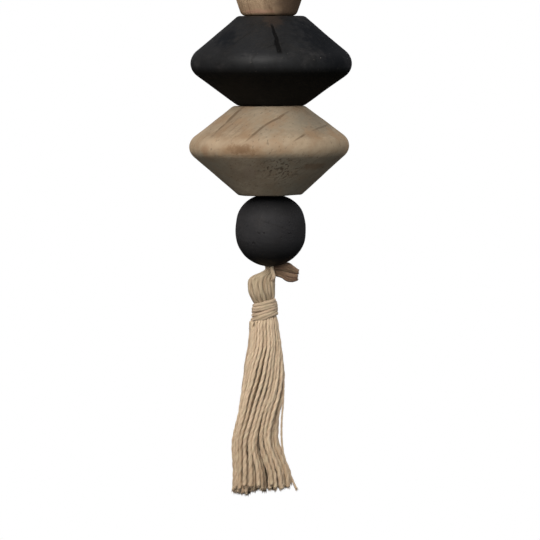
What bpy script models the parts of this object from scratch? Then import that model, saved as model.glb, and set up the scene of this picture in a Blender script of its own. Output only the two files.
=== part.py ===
# Beaded tassel: four wooden beads threaded on a doubled jute cord, with a bound jute tassel under them.
# Everything is in metres, +Z up. The origin is where a hook bears in the hanging loop, so the part
# hangs down from it. +X is the side of the knot's loose ends, and -Y is the front.

import math
import random

import bmesh
import bpy
from mathutils import Matrix, Vector

MM = 0.001
CLEARANCE = 0.3 * MM

# The cord and its knots
CORD_RADIUS = 0.8 * MM
PULLED_RADIUS = 0.68 * MM
STRAND_OFFSET = 0.74 * MM
LOOP_HEIGHT = 30.0 * MM
TOP_KNOT_RADIUS = 2.9 * MM
TOP_KNOT_HEIGHT = 4.4 * MM
SIDE_KNOT_RADIUS = 1.45 * MM
SIDE_KNOT_HEIGHT = 3.2 * MM

# The beads
TURNING_STEPS = 36
BORE_RADIUS = 2.3 * MM
BORE_ROUNDING = 0.5 * MM
EDGE_ROUNDING = 1.2 * MM
BARREL_HEIGHT = 26.0 * MM
BARREL_END_RADIUS = 9.9 * MM
BARREL_WIDE_RADIUS = 14.6 * MM
BARREL_ROUNDING = 9.0 * MM
BICONES = {
    # name: (top_flat, rim, bottom_flat, upper_height, lower_height, rim_rounding), in millimetres,
    # where the rim is the radius at which the two cones would meet without their rounding
    "bead_bicone_black": (12.2, 32.0, 11.6, 16.9, 14.5, 5.8),
    "bead_bicone_natural": (12.8, 31.4, 11.6, 14.0, 17.5, 5.5),
}
ROUND_RADIUS = 12.55 * MM
ROUND_HEIGHT = 25.0 * MM

# The tassel
STRAND_WIDTH = 1.06 * MM
STRAND_STEPS = 22
RIDGES = 17
TUNNEL_RADIUS = 1.15 * MM
TUNNEL_DROP = 4.1

# The binding, in millimetres: its levels under the round bead, how much higher its right side lies than
# its left, the gap to the neck inside it, and its twine
BINDING_TOP = 12.9
BINDING_BOTTOM = 19.7
BINDING_SLANT = 1.1
BINDING_GAP = 0.42
BINDING_TWINE = 1.25
BINDING_TURNS = 5
BINDING_STEPS = 28

# Levels, all worked out from the hanging loop downwards
KNOT_TOP = -LOOP_HEIGHT
BARREL_TOP = KNOT_TOP - TOP_KNOT_HEIGHT - CLEARANCE
BLACK_BICONE_TOP = BARREL_TOP - BARREL_HEIGHT - CLEARANCE
NATURAL_BICONE_TOP = BLACK_BICONE_TOP - sum(BICONES["bead_bicone_black"][3:5]) * MM - CLEARANCE
ROUND_TOP = NATURAL_BICONE_TOP - sum(BICONES["bead_bicone_natural"][3:5]) * MM - CLEARANCE
ROUND_BOTTOM = ROUND_TOP - ROUND_HEIGHT

# One side of the hanging loop, from its top down into the knot, in millimetres
LOOP_SIDE = (
    # across, up
    (0.0, 0.0),
    (2.6, -0.7),
    (4.9, -3.2),
    (5.9, -7.6),
    (5.2, -13.0),
    (3.7, -18.5),
    (2.2, -24.0),
    (1.2, -28.8),
    (1.05, -32.2),
)

# The doubled cord's lower end, in millimetres under the round bead: one strand comes down the front of
# the tassel's crown, goes back through its tunnel and up behind it.
RING_ROUTE = (
    # across, back, drop
    (0.0, -0.74, -4.2),
    (0.0, -0.8, -2.0),
    (0.15, -1.0, -0.6),
    (0.35, -1.5, 0.5),
    (0.7, -2.3, 1.6),
    (1.0, -2.85, 2.7),
    (0.6, -2.75, 3.8),
    (0.1, -1.3, TUNNEL_DROP),
    (0.0, 1.3, TUNNEL_DROP),
    (0.3, 2.75, 3.8),
    (0.5, 2.85, 2.7),
    (0.35, 2.3, 1.6),
    (0.2, 1.5, 0.5),
    (0.0, 1.0, -0.6),
    (0.0, 0.8, -2.0),
    (0.0, 0.74, -4.2),
)

# What ties the ring: a strand from behind round the right side to the knot, and the knot's two loose
# ends, which are unlaid and so grow thicker. Radii are at the start and at the end.
KNOT_PLACE = (3.75, 0.3, 2.3)
LOOSE_RUNS = {
    # name: (start_radius, end_radius, ((across, back, drop), ...)), in millimetres
    "bridge_shape": (0.7, 0.7, ((0.3, 2.5, 1.9), (1.8, 2.5, 2.0), (3.2, 1.5, 2.1), (3.9, 0.3, 2.2))),
    "upper_end_shape": (0.85, 1.5, ((3.6, 0.0, 2.0), (5.2, -0.2, 1.55), (7.6, -0.3, 1.5), (10.0, -0.4, 2.3))),
    "lower_end_shape": (0.85, 1.35, ((3.7, 0.2, 2.6), (5.4, -0.1, 3.9), (7.5, -0.2, 4.6), (9.9, -0.3, 4.7))),
}

# The head of the tassel, from its crown to its neck: how far each section lies under the round bead,
# its left and right edges, its half depth, how far its ridges have turned and how high they stand.
HEAD_SECTIONS = (
    # drop, left, right, half_depth, turn_deg, ridge
    (0.8, -1.9, 0.9, 0.45, 0, 0.00),
    (1.2, -2.3, 1.4, 0.75, 0, 0.06),
    (1.7, -3.0, 1.65, 1.05, 1, 0.06),
    (2.2, -4.6, 1.75, 1.3, 2, 0.06),
    (2.9, -6.0, 1.8, 1.6, 3, 0.06),
    (3.7, -6.9, 1.8, 1.8, 5, 0.06),
    (4.7, -7.7, 1.7, 2.3, 7, 0.06),
    (6.1, -8.0, 1.5, 3.0, 9, 0.06),
    (7.9, -8.0, 1.4, 3.5, 12, 0.06),
    (9.7, -7.8, 1.35, 3.6, 15, 0.06),
    (11.1, -7.1, 1.2, 3.3, 18, 0.05),
    (12.3, -6.1, 0.6, 2.7, 21, 0.03),
    (13.2, -4.9, 0.5, 2.6, 23, 0.03),
    (15.4, -4.9, 1.1, 2.75, 25, 0.03),
    (17.6, -5.3, 1.35, 2.9, 26, 0.03),
    (19.9, -5.7, 1.3, 3.0, 27, 0.00),
)

# The skirt, from the neck to the cut ends: how far each section lies under the round bead, its middle,
# its half width and half depth, and how far the strands have turned round it.
SKIRT_SECTIONS = (
    # drop, middle, half_width, half_depth, turn_deg
    (18.9, -2.2, 3.3, 2.8, 0),
    (20.3, -2.1, 3.5, 3.0, 0),
    (21.9, -2.1, 5.1, 4.2, 0),
    (27.8, -1.9, 5.9, 4.9, -2),
    (33.1, -2.1, 6.7, 5.4, -9),
    (39.8, -2.35, 7.4, 5.8, -20),
    (46.6, -3.0, 7.8, 6.0, -30),
    (53.3, -4.3, 7.6, 6.0, -37),
    (60.4, -5.4, 8.1, 6.2, -40),
    (64.3, -5.4, 8.6, 6.4, -39),
    (69.3, -4.3, 9.4, 6.8, -36),
    (73.9, -3.3, 10.1, 7.2, -33),
    (79.6, -3.1, 10.6, 7.6, -31),
    (82.0, -3.0, 10.8, 7.7, -30),
)

# The strands stand in rings: how many, how far out, and the angle of the first one
STRAND_RINGS = (
    # count, reach, first_deg
    (16, 1.00, 8),
    (9, 0.62, 20),
    (3, 0.25, 50),
)
STRAY_PLACE = 0
BINDING_END_PLACE = 8
SHORTEST_DROP = 79.2
LONGEST_DROP = 81.3


def clear_scene():
    for old in list(bpy.data.objects):
        bpy.data.objects.remove(old, do_unlink=True)


def material(name, colour, roughness, metallic=0.0):
    made = bpy.data.materials.new(name)
    made.use_nodes = True
    shader = made.node_tree.nodes["Principled BSDF"]
    shader.inputs["Base Color"].default_value = (*colour, 1.0)
    shader.inputs["Roughness"].default_value = roughness
    shader.inputs["Metallic"].default_value = metallic
    return made


def add_object(name, bm, finish=None):
    bmesh.ops.recalc_face_normals(bm, faces=bm.faces)
    mesh = bpy.data.meshes.new(name)
    bm.to_mesh(mesh)
    bm.free()
    mesh.shade_smooth()
    mesh.set_sharp_from_angle(angle=math.radians(50))
    if finish:
        mesh.materials.append(finish)
    made = bpy.data.objects.new(name, mesh)
    bpy.context.scene.collection.objects.link(made)
    return made


def helper(made):
    made.hide_render = True
    made.display_type = "WIRE"
    return made


def boolean(target, other, operation):
    cut = target.modifiers.new(other.name, "BOOLEAN")
    cut.operation = operation
    cut.solver = "EXACT"
    cut.object = other


# Shapes

def rounded(corners):
    """The closed outline through corners of (radius, height, rounding, steps), each rounded off by an arc."""
    outline = []
    for i, (r, z, rounding, steps) in enumerate(corners):
        here = Vector((r, z))
        before = Vector(corners[i - 1][:2]) - here
        after = Vector(corners[(i + 1) % len(corners)][:2]) - here
        if steps == 0:
            outline.append(here)
            continue
        half = before.angle(after) / 2
        centre = here + (before.normalized() + after.normalized()).normalized() * rounding / math.sin(half)
        start = here + before.normalized() * rounding / math.tan(half) - centre
        end = here + after.normalized() * rounding / math.tan(half) - centre
        sweep = start.angle_signed(end)
        for k in range(steps + 1):
            angle = math.atan2(start.y, start.x) - sweep * k / steps
            outline.append(centre + Vector((math.cos(angle), math.sin(angle))) * rounding)
    return outline


def turned(name, outline, finish):
    """A solid turned round Z from its closed outline of (radius, height)."""
    bm = bmesh.new()
    ring = [bm.verts.new((p.x, 0, p.y)) for p in outline]
    edges = [bm.edges.new((a, b)) for a, b in zip(ring, ring[1:] + ring[:1])]
    bmesh.ops.spin(
        bm,
        geom=ring + edges,
        cent=(0, 0, 0),
        axis=(0, 0, 1),
        angle=math.tau,
        steps=TURNING_STEPS,
        use_merge=True,
    )
    return add_object(name, bm, finish)


def smooth_path(points, steps):
    """Points on a smooth curve through the given ones, evenly spaced in number between each pair."""
    made = []
    for i in range(len(points) - 1):
        p0 = points[max(i - 1, 0)]
        p1, p2 = points[i], points[i + 1]
        p3 = points[min(i + 2, len(points) - 1)]
        for k in range(steps):
            t = k / steps
            made.append(
                0.5
                * (
                    2 * p1
                    + (p2 - p0) * t
                    + (2 * p0 - 5 * p1 + 4 * p2 - p3) * t * t
                    + (3 * p1 - p0 - 3 * p2 + p3) * t * t * t
                )
            )
    return made + [points[-1]]


def add_tube(bm, path, radii, sides, closed=False, turn=0.0):
    """Adds a tube along path, with a radius at each point and its ends capped."""
    count = len(path)
    across = None
    rings = []
    for i, here in enumerate(path):
        before = path[i - 1] if closed or i else here
        after = path[(i + 1) % count] if closed or i < count - 1 else here
        along = (after - before).normalized()
        if across is None:
            across = along.orthogonal().normalized()
        across = (across - along * across.dot(along)).normalized()
        other = along.cross(across)
        ring = []
        for k in range(sides):
            angle = turn + math.tau * (k + 0.5) / sides
            ring.append(bm.verts.new(here + (across * math.cos(angle) + other * math.sin(angle)) * radii[i]))
        rings.append(ring)
    pairs = list(zip(rings, rings[1:])) + ([(rings[-1], rings[0])] if closed else [])
    for low, high in pairs:
        for k in range(sides):
            bm.faces.new((low[k], low[(k + 1) % sides], high[(k + 1) % sides], high[k]))
    if not closed:
        bm.faces.new(rings[0][::-1])
        bm.faces.new(rings[-1])


def tube(name, path, radii, sides, closed=False):
    bm = bmesh.new()
    add_tube(bm, path, radii, sides, closed)
    return add_object(name, bm)


def loft(bm, rings):
    """Joins rings of points into one closed skin, with its ends capped."""
    made = [[bm.verts.new(p) for p in ring] for ring in rings]
    count = len(made[0])
    for high, low in zip(made, made[1:]):
        for k in range(count):
            bm.faces.new((high[k], low[k], low[(k + 1) % count], high[(k + 1) % count]))
    bm.faces.new(made[0])
    bm.faces.new(made[-1][::-1])


def knot(name, centre, radius, height):
    """A pulled-tight knot as one ridged ball: the cord's turns stand out of it and lean over."""
    around, tall = 16, 10
    turns, lean = 2.0, 0.13
    rings = []
    for j in range(tall + 1):
        rise = math.cos(math.pi * (0.04 + 0.92 * j / tall))
        girth = math.sin(math.pi * (0.04 + 0.92 * j / tall))
        ring = []
        for k in range(around):
            angle = math.tau * k / around
            wave = math.cos(math.tau * turns * (rise / 2 + lean * math.cos(angle)))
            out = radius * girth * (0.92 + 0.08 * wave)
            ring.append(centre + Vector((out * math.cos(angle), out * math.sin(angle), rise * height / 2)))
        rings.append(ring)
    bm = bmesh.new()
    loft(bm, rings)
    return add_object(name, bm)


# Beads

def bicone_bead(name, top, finish):
    """A turned bead of two cones on one rounded rim, flat where it meets its neighbours."""
    top_flat, rim, bottom_flat, upper, lower, rounding = (size * MM for size in BICONES[name])
    middle = top - upper
    bottom = middle - lower
    corners = (
        (BORE_RADIUS, top, BORE_ROUNDING, 1),
        (top_flat, top, EDGE_ROUNDING, 2),
        (rim, middle, rounding, 6),
        (bottom_flat, bottom, EDGE_ROUNDING, 2),
        (BORE_RADIUS, bottom, BORE_ROUNDING, 1),
    )
    return turned(name, rounded(corners), finish)


def barrel_bead(name, top, finish):
    """A turned bead with flat ends, sloping sides and a soft waistline."""
    bottom = top - BARREL_HEIGHT
    corners = (
        (BORE_RADIUS, top, BORE_ROUNDING, 1),
        (BARREL_END_RADIUS, top, EDGE_ROUNDING, 3),
        (BARREL_WIDE_RADIUS, (top + bottom) / 2, BARREL_ROUNDING, 4),
        (BARREL_END_RADIUS, bottom, EDGE_ROUNDING, 3),
        (BORE_RADIUS, bottom, BORE_ROUNDING, 1),
    )
    return turned(name, rounded(corners), finish)


def round_bead(name, top, finish):
    """A turned ball, a little squared off at the top where it was parted from its stock."""
    middle = top - ROUND_HEIGHT / 2
    steps = 18
    outline = [Vector((BORE_RADIUS, top - BORE_ROUNDING / 2))]
    for k in range(1, steps):
        angle = math.pi * k / steps
        square = 0.8 if angle < math.pi / 2 else 0.92
        across = ROUND_RADIUS * math.sin(angle) ** square
        up = math.copysign(abs(math.cos(angle)) ** square, math.cos(angle)) * ROUND_HEIGHT / 2
        if across > BORE_RADIUS + BORE_ROUNDING / 2:
            outline.append(Vector((across, middle + up)))
    outline.append(Vector((BORE_RADIUS, top - ROUND_HEIGHT + BORE_ROUNDING / 2)))
    return turned(name, outline, finish)


# Cord

def under_bead(x, y, drop):
    """A point in millimetres across, back and down from the underside of the round bead, on its axis."""
    return Vector((x * MM, y * MM, ROUND_BOTTOM - drop * MM))


def hanging_loop():
    """The loop at the top: straight legs out of the knot, opening to a round end over the hook."""
    side = [Vector((x * MM, 0, z * MM + CORD_RADIUS)) for x, z in LOOP_SIDE]
    other_side = [Vector((-p.x, 0, p.z)) for p in side[:0:-1]]
    path = smooth_path(other_side + side, 3)
    return helper(tube("loop_shape", path, [CORD_RADIUS] * len(path), 8))


def cord_run():
    """The doubled cord, two strands lying front and back, from the top knot down through the beads."""
    levels = [KNOT_TOP - TOP_KNOT_HEIGHT / 2]
    levels += [BLACK_BICONE_TOP, NATURAL_BICONE_TOP, ROUND_TOP, ROUND_BOTTOM + 3.2 * MM]
    around = 12
    rings = []
    for level in levels:
        ring = []
        for k in range(around):
            angle = math.tau * (k + 0.5) / around
            side = math.copysign(STRAND_OFFSET, math.sin(angle))
            across = CORD_RADIUS * math.cos(angle)
            ring.append(Vector((across, side + CORD_RADIUS * math.sin(angle), level)))
        rings.append(ring)
    bm = bmesh.new()
    loft(bm, rings)
    return bm


def holding_ring():
    path = smooth_path([under_bead(*point) for point in RING_ROUTE], 2)
    return helper(tube("ring_shape", path, [PULLED_RADIUS] * len(path), 8))


def loose_run(name):
    start, end, points = LOOSE_RUNS[name]
    path = smooth_path([under_bead(*point) for point in points], 3)
    radii = []
    for i in range(len(path)):
        share = min(1.0, i / (len(path) - 3))
        radii.append((start + (end - start) * share) * MM)
    radii[-1] *= 0.8
    return helper(tube(name, path, radii, 8))


def hanging_cord(finish):
    made = add_object("hanging_cord", cord_run(), finish)
    top_knot = Vector((0, 0, KNOT_TOP - TOP_KNOT_HEIGHT / 2))
    side_knot = under_bead(*KNOT_PLACE)
    joined = [
        helper(knot("top_knot_shape", top_knot, TOP_KNOT_RADIUS, TOP_KNOT_HEIGHT)),
        hanging_loop(),
        holding_ring(),
        helper(knot("side_knot_shape", side_knot, SIDE_KNOT_RADIUS, SIDE_KNOT_HEIGHT)),
    ]
    for other in joined + [loose_run(name) for name in LOOSE_RUNS]:
        boolean(made, other, "UNION")
    return made


# Tassel

def between(table, drop):
    """The columns of a table of sections at this drop, smoothly between its rows."""
    drop = min(max(drop, table[0][0]), table[-1][0])
    for i in range(len(table) - 1):
        if drop <= table[i + 1][0]:
            break
    rows = [table[max(i - 1, 0)], table[i], table[i + 1], table[min(i + 2, len(table) - 1)]]
    span = rows[2][0] - rows[1][0]
    t = (drop - rows[1][0]) / span
    columns = []
    for column in range(1, len(table[0])):
        a, b = rows[1][column], rows[2][column]
        slope_a = (b - rows[0][column]) / (rows[2][0] - rows[0][0]) * span
        slope_b = (rows[3][column] - a) / (rows[3][0] - rows[1][0]) * span
        curve = (2 * t**3 - 3 * t**2 + 1) * a + (3 * t**2 - 2 * t**3) * b
        columns.append(curve + (t**3 - 2 * t**2 + t) * slope_a + (t**3 - t**2) * slope_b)
    return columns


def head_shape():
    """The bundle's folded top, slumped to the left of the cord, with the strands' ridges down it."""
    around = 2 * RIDGES
    rings = []
    for drop, left, right, depth, turn, ridge in HEAD_SECTIONS:
        middle, half = (left + right) / 2, (right - left) / 2
        ring = []
        for k in range(around):
            angle = math.tau * k / around + math.radians(turn)
            out = 1 + ridge * (1 if k % 2 else -1)
            across = middle + half * out * math.cos(angle)
            ring.append(under_bead(across, depth * out * math.sin(angle), drop))
        rings.append(ring)
    bm = bmesh.new()
    loft(bm, rings)
    return bm


def strand_path(angle, reach, end, wander, swing=0.0):
    """A strand's centreline from the neck to its cut end, with its own slight wander."""
    start = SKIRT_SECTIONS[0][0]
    path = []
    for k in range(STRAND_STEPS + 1):
        share = k / STRAND_STEPS
        drop = start + (end - start) * share**1.25
        middle, half, depth, turn = between(SKIRT_SECTIONS, drop)
        margin = STRAND_WIDTH / MM / 2
        spread = min(1.0, share * 4)
        around = math.radians(angle + turn + wander * spread * math.sin(3 * share * math.pi + angle))
        loose = swing * max(0.0, share - 0.5) * 2
        across = middle + ((half - margin) * reach + loose) * math.cos(around)
        back = (depth - margin) * reach * math.sin(around)
        path.append(under_bead(across, back, drop))
    return path


def strand_radii():
    """Thin at the root, where the binding crowds them, and full a little lower down."""
    radii = []
    for k in range(STRAND_STEPS + 1):
        full = min(1.0, max(0.0, (k - 1) / 3))
        radii.append(STRAND_WIDTH * (0.5 + 0.5 * full) / math.sqrt(2))
    return radii


def strands_shape():
    draw = random.Random(7)
    bm = bmesh.new()
    for count, reach, first in STRAND_RINGS:
        for k in range(count):
            angle = first + 360 * k / count
            to_right = 0.5 + 0.5 * math.cos(math.radians(angle + SKIRT_SECTIONS[-1][4]))
            end = LONGEST_DROP - (LONGEST_DROP - SHORTEST_DROP) * to_right + draw.uniform(-0.6, 0.0)
            outside = reach == STRAND_RINGS[0][1]
            if outside and k == BINDING_END_PLACE:
                continue
            stray = outside and k == STRAY_PLACE
            path = strand_path(angle, reach, end, draw.uniform(1.0, 2.5), 2.4 if stray else 0.0)
            add_tube(bm, path, strand_radii(), 4)
    return helper(add_object("strands_shape", bm))


def tunnel_shape():
    """The gap under the fold, from front to back, that the cord goes through."""
    bm = bmesh.new()
    turn = Matrix.Rotation(math.radians(90), 4, "X")
    place = Matrix.Translation(under_bead(0.05, 0.0, TUNNEL_DROP))
    bmesh.ops.create_cone(
        bm,
        cap_ends=True,
        segments=12,
        radius1=TUNNEL_RADIUS,
        radius2=TUNNEL_RADIUS,
        depth=12 * MM,
        matrix=place @ turn,
    )
    return helper(add_object("tunnel_shape", bm))


def tassel_bundle(finish):
    made = add_object("tassel_bundle", head_shape(), finish)
    boolean(made, tunnel_shape(), "DIFFERENCE")
    boolean(made, strands_shape(), "UNION")
    return made


def binding_ring(share, out):
    """The points round the neck at this share of the binding's height, so far out from the neck."""
    ring = []
    for k in range(BINDING_STEPS):
        angle = math.tau * k / BINDING_STEPS
        drop = BINDING_TOP + (BINDING_BOTTOM - BINDING_TOP) * share - BINDING_SLANT / 2 * math.cos(angle)
        level = min(max(drop, BINDING_TOP + 0.3), BINDING_BOTTOM)
        left, right, depth, _, _ = between(HEAD_SECTIONS, level)
        middle, half = (left + right) / 2, (right - left) / 2
        across = middle + (half + out) * math.cos(angle)
        ring.append(under_bead(across, (depth + out) * math.sin(angle), drop))
    return ring


def binding_twine(finish):
    """The wound twine round the neck as one ridged sleeve, and its end, hanging at the left of the skirt."""
    tall = 4 * BINDING_TURNS
    rings = []
    for j in range(tall + 1):
        wound = abs(math.sin(math.pi * BINDING_TURNS * j / tall))
        rings.append(binding_ring(j / tall, BINDING_GAP + BINDING_TWINE * (0.62 + 0.38 * wound)))
    for share in (1.0, 0.66, 0.33, 0.0):
        rings.append(binding_ring(share, BINDING_GAP))
    bm = bmesh.new()
    made = [[bm.verts.new(p) for p in ring] for ring in rings]
    for high, low in zip(made, made[1:] + made[:1]):
        for k in range(BINDING_STEPS):
            after = (k + 1) % BINDING_STEPS
            bm.faces.new((high[k], low[k], low[after], high[after]))
    sleeve = add_object("binding_twine", bm, finish)
    count, reach, first = STRAND_RINGS[0]
    end = strand_path(first + 360 * BINDING_END_PLACE / count, 1.04 * reach, LONGEST_DROP - 1.8, 0.0)
    path = [under_bead(-6.4, -1.0, 18.6), under_bead(-7.2, -0.9, 20.6)]
    path += [p for p in end if p.z < path[-1].z - 1.5 * MM]
    tail = helper(tube("binding_end_shape", path, [STRAND_WIDTH / math.sqrt(2)] * len(path), 4))
    boolean(sleeve, tail, "UNION")
    return sleeve


def main():
    clear_scene()
    bare_wood = material("bare_wood", (0.42, 0.32, 0.22), 0.62)
    black_paint = material("black_paint", (0.018, 0.018, 0.019), 0.42)
    jute = material("jute", (0.52, 0.39, 0.26), 0.88)
    dark_jute = material("dark_jute", (0.30, 0.20, 0.13), 0.9)
    barrel_bead("bead_barrel_natural", BARREL_TOP, bare_wood)
    bicone_bead("bead_bicone_black", BLACK_BICONE_TOP, black_paint)
    bicone_bead("bead_bicone_natural", NATURAL_BICONE_TOP, bare_wood)
    round_bead("bead_round_black", ROUND_TOP, black_paint)
    hanging_cord(dark_jute)
    tassel_bundle(jute)
    binding_twine(jute)


main()
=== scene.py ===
# A jute tassel on four wooden beads, hung up by its cord. Sizes are in metres, and +Z is up.
import math
import random

import bpy
import numpy as np
from mathutils import Matrix, Vector


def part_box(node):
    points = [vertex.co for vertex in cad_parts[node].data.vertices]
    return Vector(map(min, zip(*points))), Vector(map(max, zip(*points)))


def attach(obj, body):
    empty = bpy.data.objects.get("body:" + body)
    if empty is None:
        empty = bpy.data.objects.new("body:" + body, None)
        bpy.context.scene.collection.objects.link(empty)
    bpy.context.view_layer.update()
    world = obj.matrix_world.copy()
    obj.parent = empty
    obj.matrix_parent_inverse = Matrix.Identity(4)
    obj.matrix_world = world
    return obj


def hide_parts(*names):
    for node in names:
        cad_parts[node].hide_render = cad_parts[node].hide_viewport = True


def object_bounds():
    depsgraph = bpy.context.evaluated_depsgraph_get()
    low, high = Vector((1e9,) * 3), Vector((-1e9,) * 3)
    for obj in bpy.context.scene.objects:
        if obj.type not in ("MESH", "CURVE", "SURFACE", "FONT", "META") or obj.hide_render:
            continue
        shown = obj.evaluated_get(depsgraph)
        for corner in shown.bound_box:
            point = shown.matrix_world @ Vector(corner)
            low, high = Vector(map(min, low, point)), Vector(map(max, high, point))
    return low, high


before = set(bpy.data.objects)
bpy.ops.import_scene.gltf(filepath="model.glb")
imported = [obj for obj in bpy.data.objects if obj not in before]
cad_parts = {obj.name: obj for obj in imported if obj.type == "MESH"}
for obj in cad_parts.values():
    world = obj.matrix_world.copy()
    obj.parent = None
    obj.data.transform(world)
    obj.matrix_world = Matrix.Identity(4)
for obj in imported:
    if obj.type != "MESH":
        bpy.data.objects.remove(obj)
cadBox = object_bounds()
mm = 0.001
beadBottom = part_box("bead_round_black")[0].z  # the tassel is measured down from here
print("frame loaded, round bead ends at", round(beadBottom / mm, 2), "mm")


# Camera, light and floor

viewSettings = {
    "distance": 1.2,
    "frameWidth": 0.1917,  # what the picture takes in, at the part
    "centre": (-0.0002, -0.1509),
    "eyeLevel": -0.075,  # a little above the middle, looking down on it
    "floorDrop": 1.10,  # it hangs this far over the floor
}

lightSettings = {
    # name: (place, aim, size, power, colour)
    "keyLight": ((-0.28, -0.87, 0.44), (0, 0, -0.12), 0.85, 8.4, (1.0, 0.97, 0.93)),
    "shineLight": ((-0.28, -0.88, 0.44), (0, 0, -0.12), 0.85, 4.4, (1.0, 0.97, 0.93)),
    "frontFill": ((0.15, -1.05, -0.15), (0, 0, -0.15), 0.50, 0.8, (0.86, 0.94, 1.0)),
    "leftFill": ((-0.90, -0.45, 0.10), (0, 0, -0.12), 0.50, 2.2, (1.0, 0.98, 0.96)),
    "rightFill": ((0.90, -0.45, 0.10), (0, 0, -0.12), 0.50, 2.6, (0.92, 0.97, 1.0)),
    "backFill": ((0.55, 0.95, 0.20), (0, 0, -0.12), 0.60, 10.0, (1.0, 0.98, 0.96)),
    "backLeftFill": ((-0.62, 0.90, 0.15), (0, 0, -0.12), 0.60, 7.0, (1.0, 0.98, 0.96)),
}


def aim(thing, target):
    direction = Vector(target) - thing.location
    thing.rotation_euler = direction.to_track_quat("-Z", "Y").to_euler()


def addCamera():
    across, up = viewSettings["centre"]
    bpy.ops.object.camera_add(location=(across, -viewSettings["distance"], viewSettings["eyeLevel"]))
    camera = bpy.context.object
    aim(camera, (across, 0, up))
    camera.data.sensor_width = 36
    camera.data.lens = 36 * math.hypot(viewSettings["distance"], viewSettings["eyeLevel"] - up) / viewSettings["frameWidth"]
    camera.data.clip_start = 0.01
    bpy.context.scene.camera = camera


def addLights():
    for name, (place, target, size, power, colour) in lightSettings.items():
        bpy.ops.object.light_add(type="AREA", location=place)
        light = bpy.context.object
        light.name = name
        light.data.shape = "DISK"
        light.data.size = size
        light.data.energy = power
        light.data.color = colour
        light.visible_glossy = name == "shineLight"  # the others leave no bright edges on the black beads
        aim(light, target)


def addWorld():
    # white behind the part, and a dim room with a bright ceiling all round it
    world = bpy.data.worlds.new("studioRoom")
    bpy.context.scene.world = world
    world.use_nodes = True
    nodes = world.node_tree.nodes
    links = world.node_tree.links
    nodes.clear()
    place = nodes.new("ShaderNodeTexCoord")
    split = nodes.new("ShaderNodeSeparateXYZ")
    ramp = nodes.new("ShaderNodeValToRGB")
    ramp.color_ramp.elements[0].position = 0.0
    ramp.color_ramp.elements[0].color = (0.008, 0.008, 0.008, 1)
    ramp.color_ramp.elements[1].position = 1.0
    ramp.color_ramp.elements[1].color = (0.22, 0.22, 0.23, 1)
    level = ramp.color_ramp.elements.new(0.5)
    level.color = (0.05, 0.05, 0.052, 1)
    toRamp = nodes.new("ShaderNodeMapRange")
    toRamp.inputs["From Min"].default_value = -1.0
    room = nodes.new("ShaderNodeBackground")
    white = nodes.new("ShaderNodeBackground")
    white.inputs["Color"].default_value = (1, 1, 1, 1)
    rays = nodes.new("ShaderNodeLightPath")
    pick = nodes.new("ShaderNodeMixShader")
    out = nodes.new("ShaderNodeOutputWorld")
    links.new(place.outputs["Generated"], split.inputs[0])
    links.new(split.outputs["Z"], toRamp.inputs["Value"])
    links.new(toRamp.outputs["Result"], ramp.inputs["Fac"])
    links.new(ramp.outputs["Color"], room.inputs["Color"])
    links.new(rays.outputs["Is Camera Ray"], pick.inputs["Fac"])
    links.new(room.outputs[0], pick.inputs[1])
    links.new(white.outputs[0], pick.inputs[2])
    links.new(pick.outputs[0], out.inputs["Surface"])
    bpy.context.scene.view_settings.view_transform = "Standard"


def addFloor():
    level = cadBox[0].z - viewSettings["floorDrop"]
    bpy.ops.mesh.primitive_circle_add(vertices=96, radius=1.8, fill_type="NGON", location=(0, 0, level))
    floor = bpy.context.object
    floor.name = "floor"
    paper = bpy.data.materials.new("paleFloor")
    paper.use_nodes = True
    shader = paper.node_tree.nodes["Principled BSDF"]
    shader.inputs["Base Color"].default_value = (0.90, 0.90, 0.89, 1)
    shader.inputs["Roughness"].default_value = 0.9
    shader.inputs["Emission Color"].default_value = (1, 1, 1, 1)
    shader.inputs["Emission Strength"].default_value = 0.28  # lit from beyond the picture
    floor.data.materials.append(paper)
    floor.visible_diffuse = False  # keeps the undersides as dark as a far floor would
    floor.visible_glossy = False


addCamera()
addLights()
addWorld()
addFloor()
print("camera, lights and floor done")


# Small helpers

def deselectAll():
    bpy.ops.object.select_all(action="DESELECT")


def makeActive(thing):
    deselectAll()
    thing.select_set(True)
    bpy.context.view_layer.objects.active = thing


def finishPiece(piece, finish, slot, *nodes):
    piece.data.materials.clear()
    piece.data.materials.append(finish)
    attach(piece, "root")
    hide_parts(*nodes)


def addNode(tree, kind, inputs=None, **values):
    node = tree.nodes.new(kind)
    for key, value in values.items():
        setattr(node, key, value)
    for key, value in (inputs or {}).items():
        if isinstance(value, bpy.types.NodeSocket):
            tree.links.new(value, node.inputs[key])
        else:
            node.inputs[key].default_value = value
    return node


def newGroup(name, inputs, outputs):
    tree = bpy.data.node_groups.new(name, "ShaderNodeTree")
    for socketName, kind, value in inputs:
        socket = tree.interface.new_socket(name=socketName, in_out="INPUT", socket_type=kind)
        socket.default_value = value
    for socketName, kind in outputs:
        tree.interface.new_socket(name=socketName, in_out="OUTPUT", socket_type=kind)
    return tree, tree.nodes.new("NodeGroupInput"), tree.nodes.new("NodeGroupOutput")


def noise(tree, place, scale, detail=3.0, roughness=0.5):
    inputs = {"Vector": place, "Scale": scale, "Detail": detail, "Roughness": roughness}
    return addNode(tree, "ShaderNodeTexNoise", inputs).outputs["Fac"]


def toRange(tree, value, low, high, outLow=0.0, outHigh=1.0):
    inputs = {"Value": value, "From Min": low, "From Max": high, "To Min": outLow, "To Max": outHigh}
    return addNode(tree, "ShaderNodeMapRange", inputs, clamp=True).outputs["Result"]


def maths(tree, operation, a, b=0.0):
    return addNode(tree, "ShaderNodeMath", {0: a, 1: b}, operation=operation).outputs[0]


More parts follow.
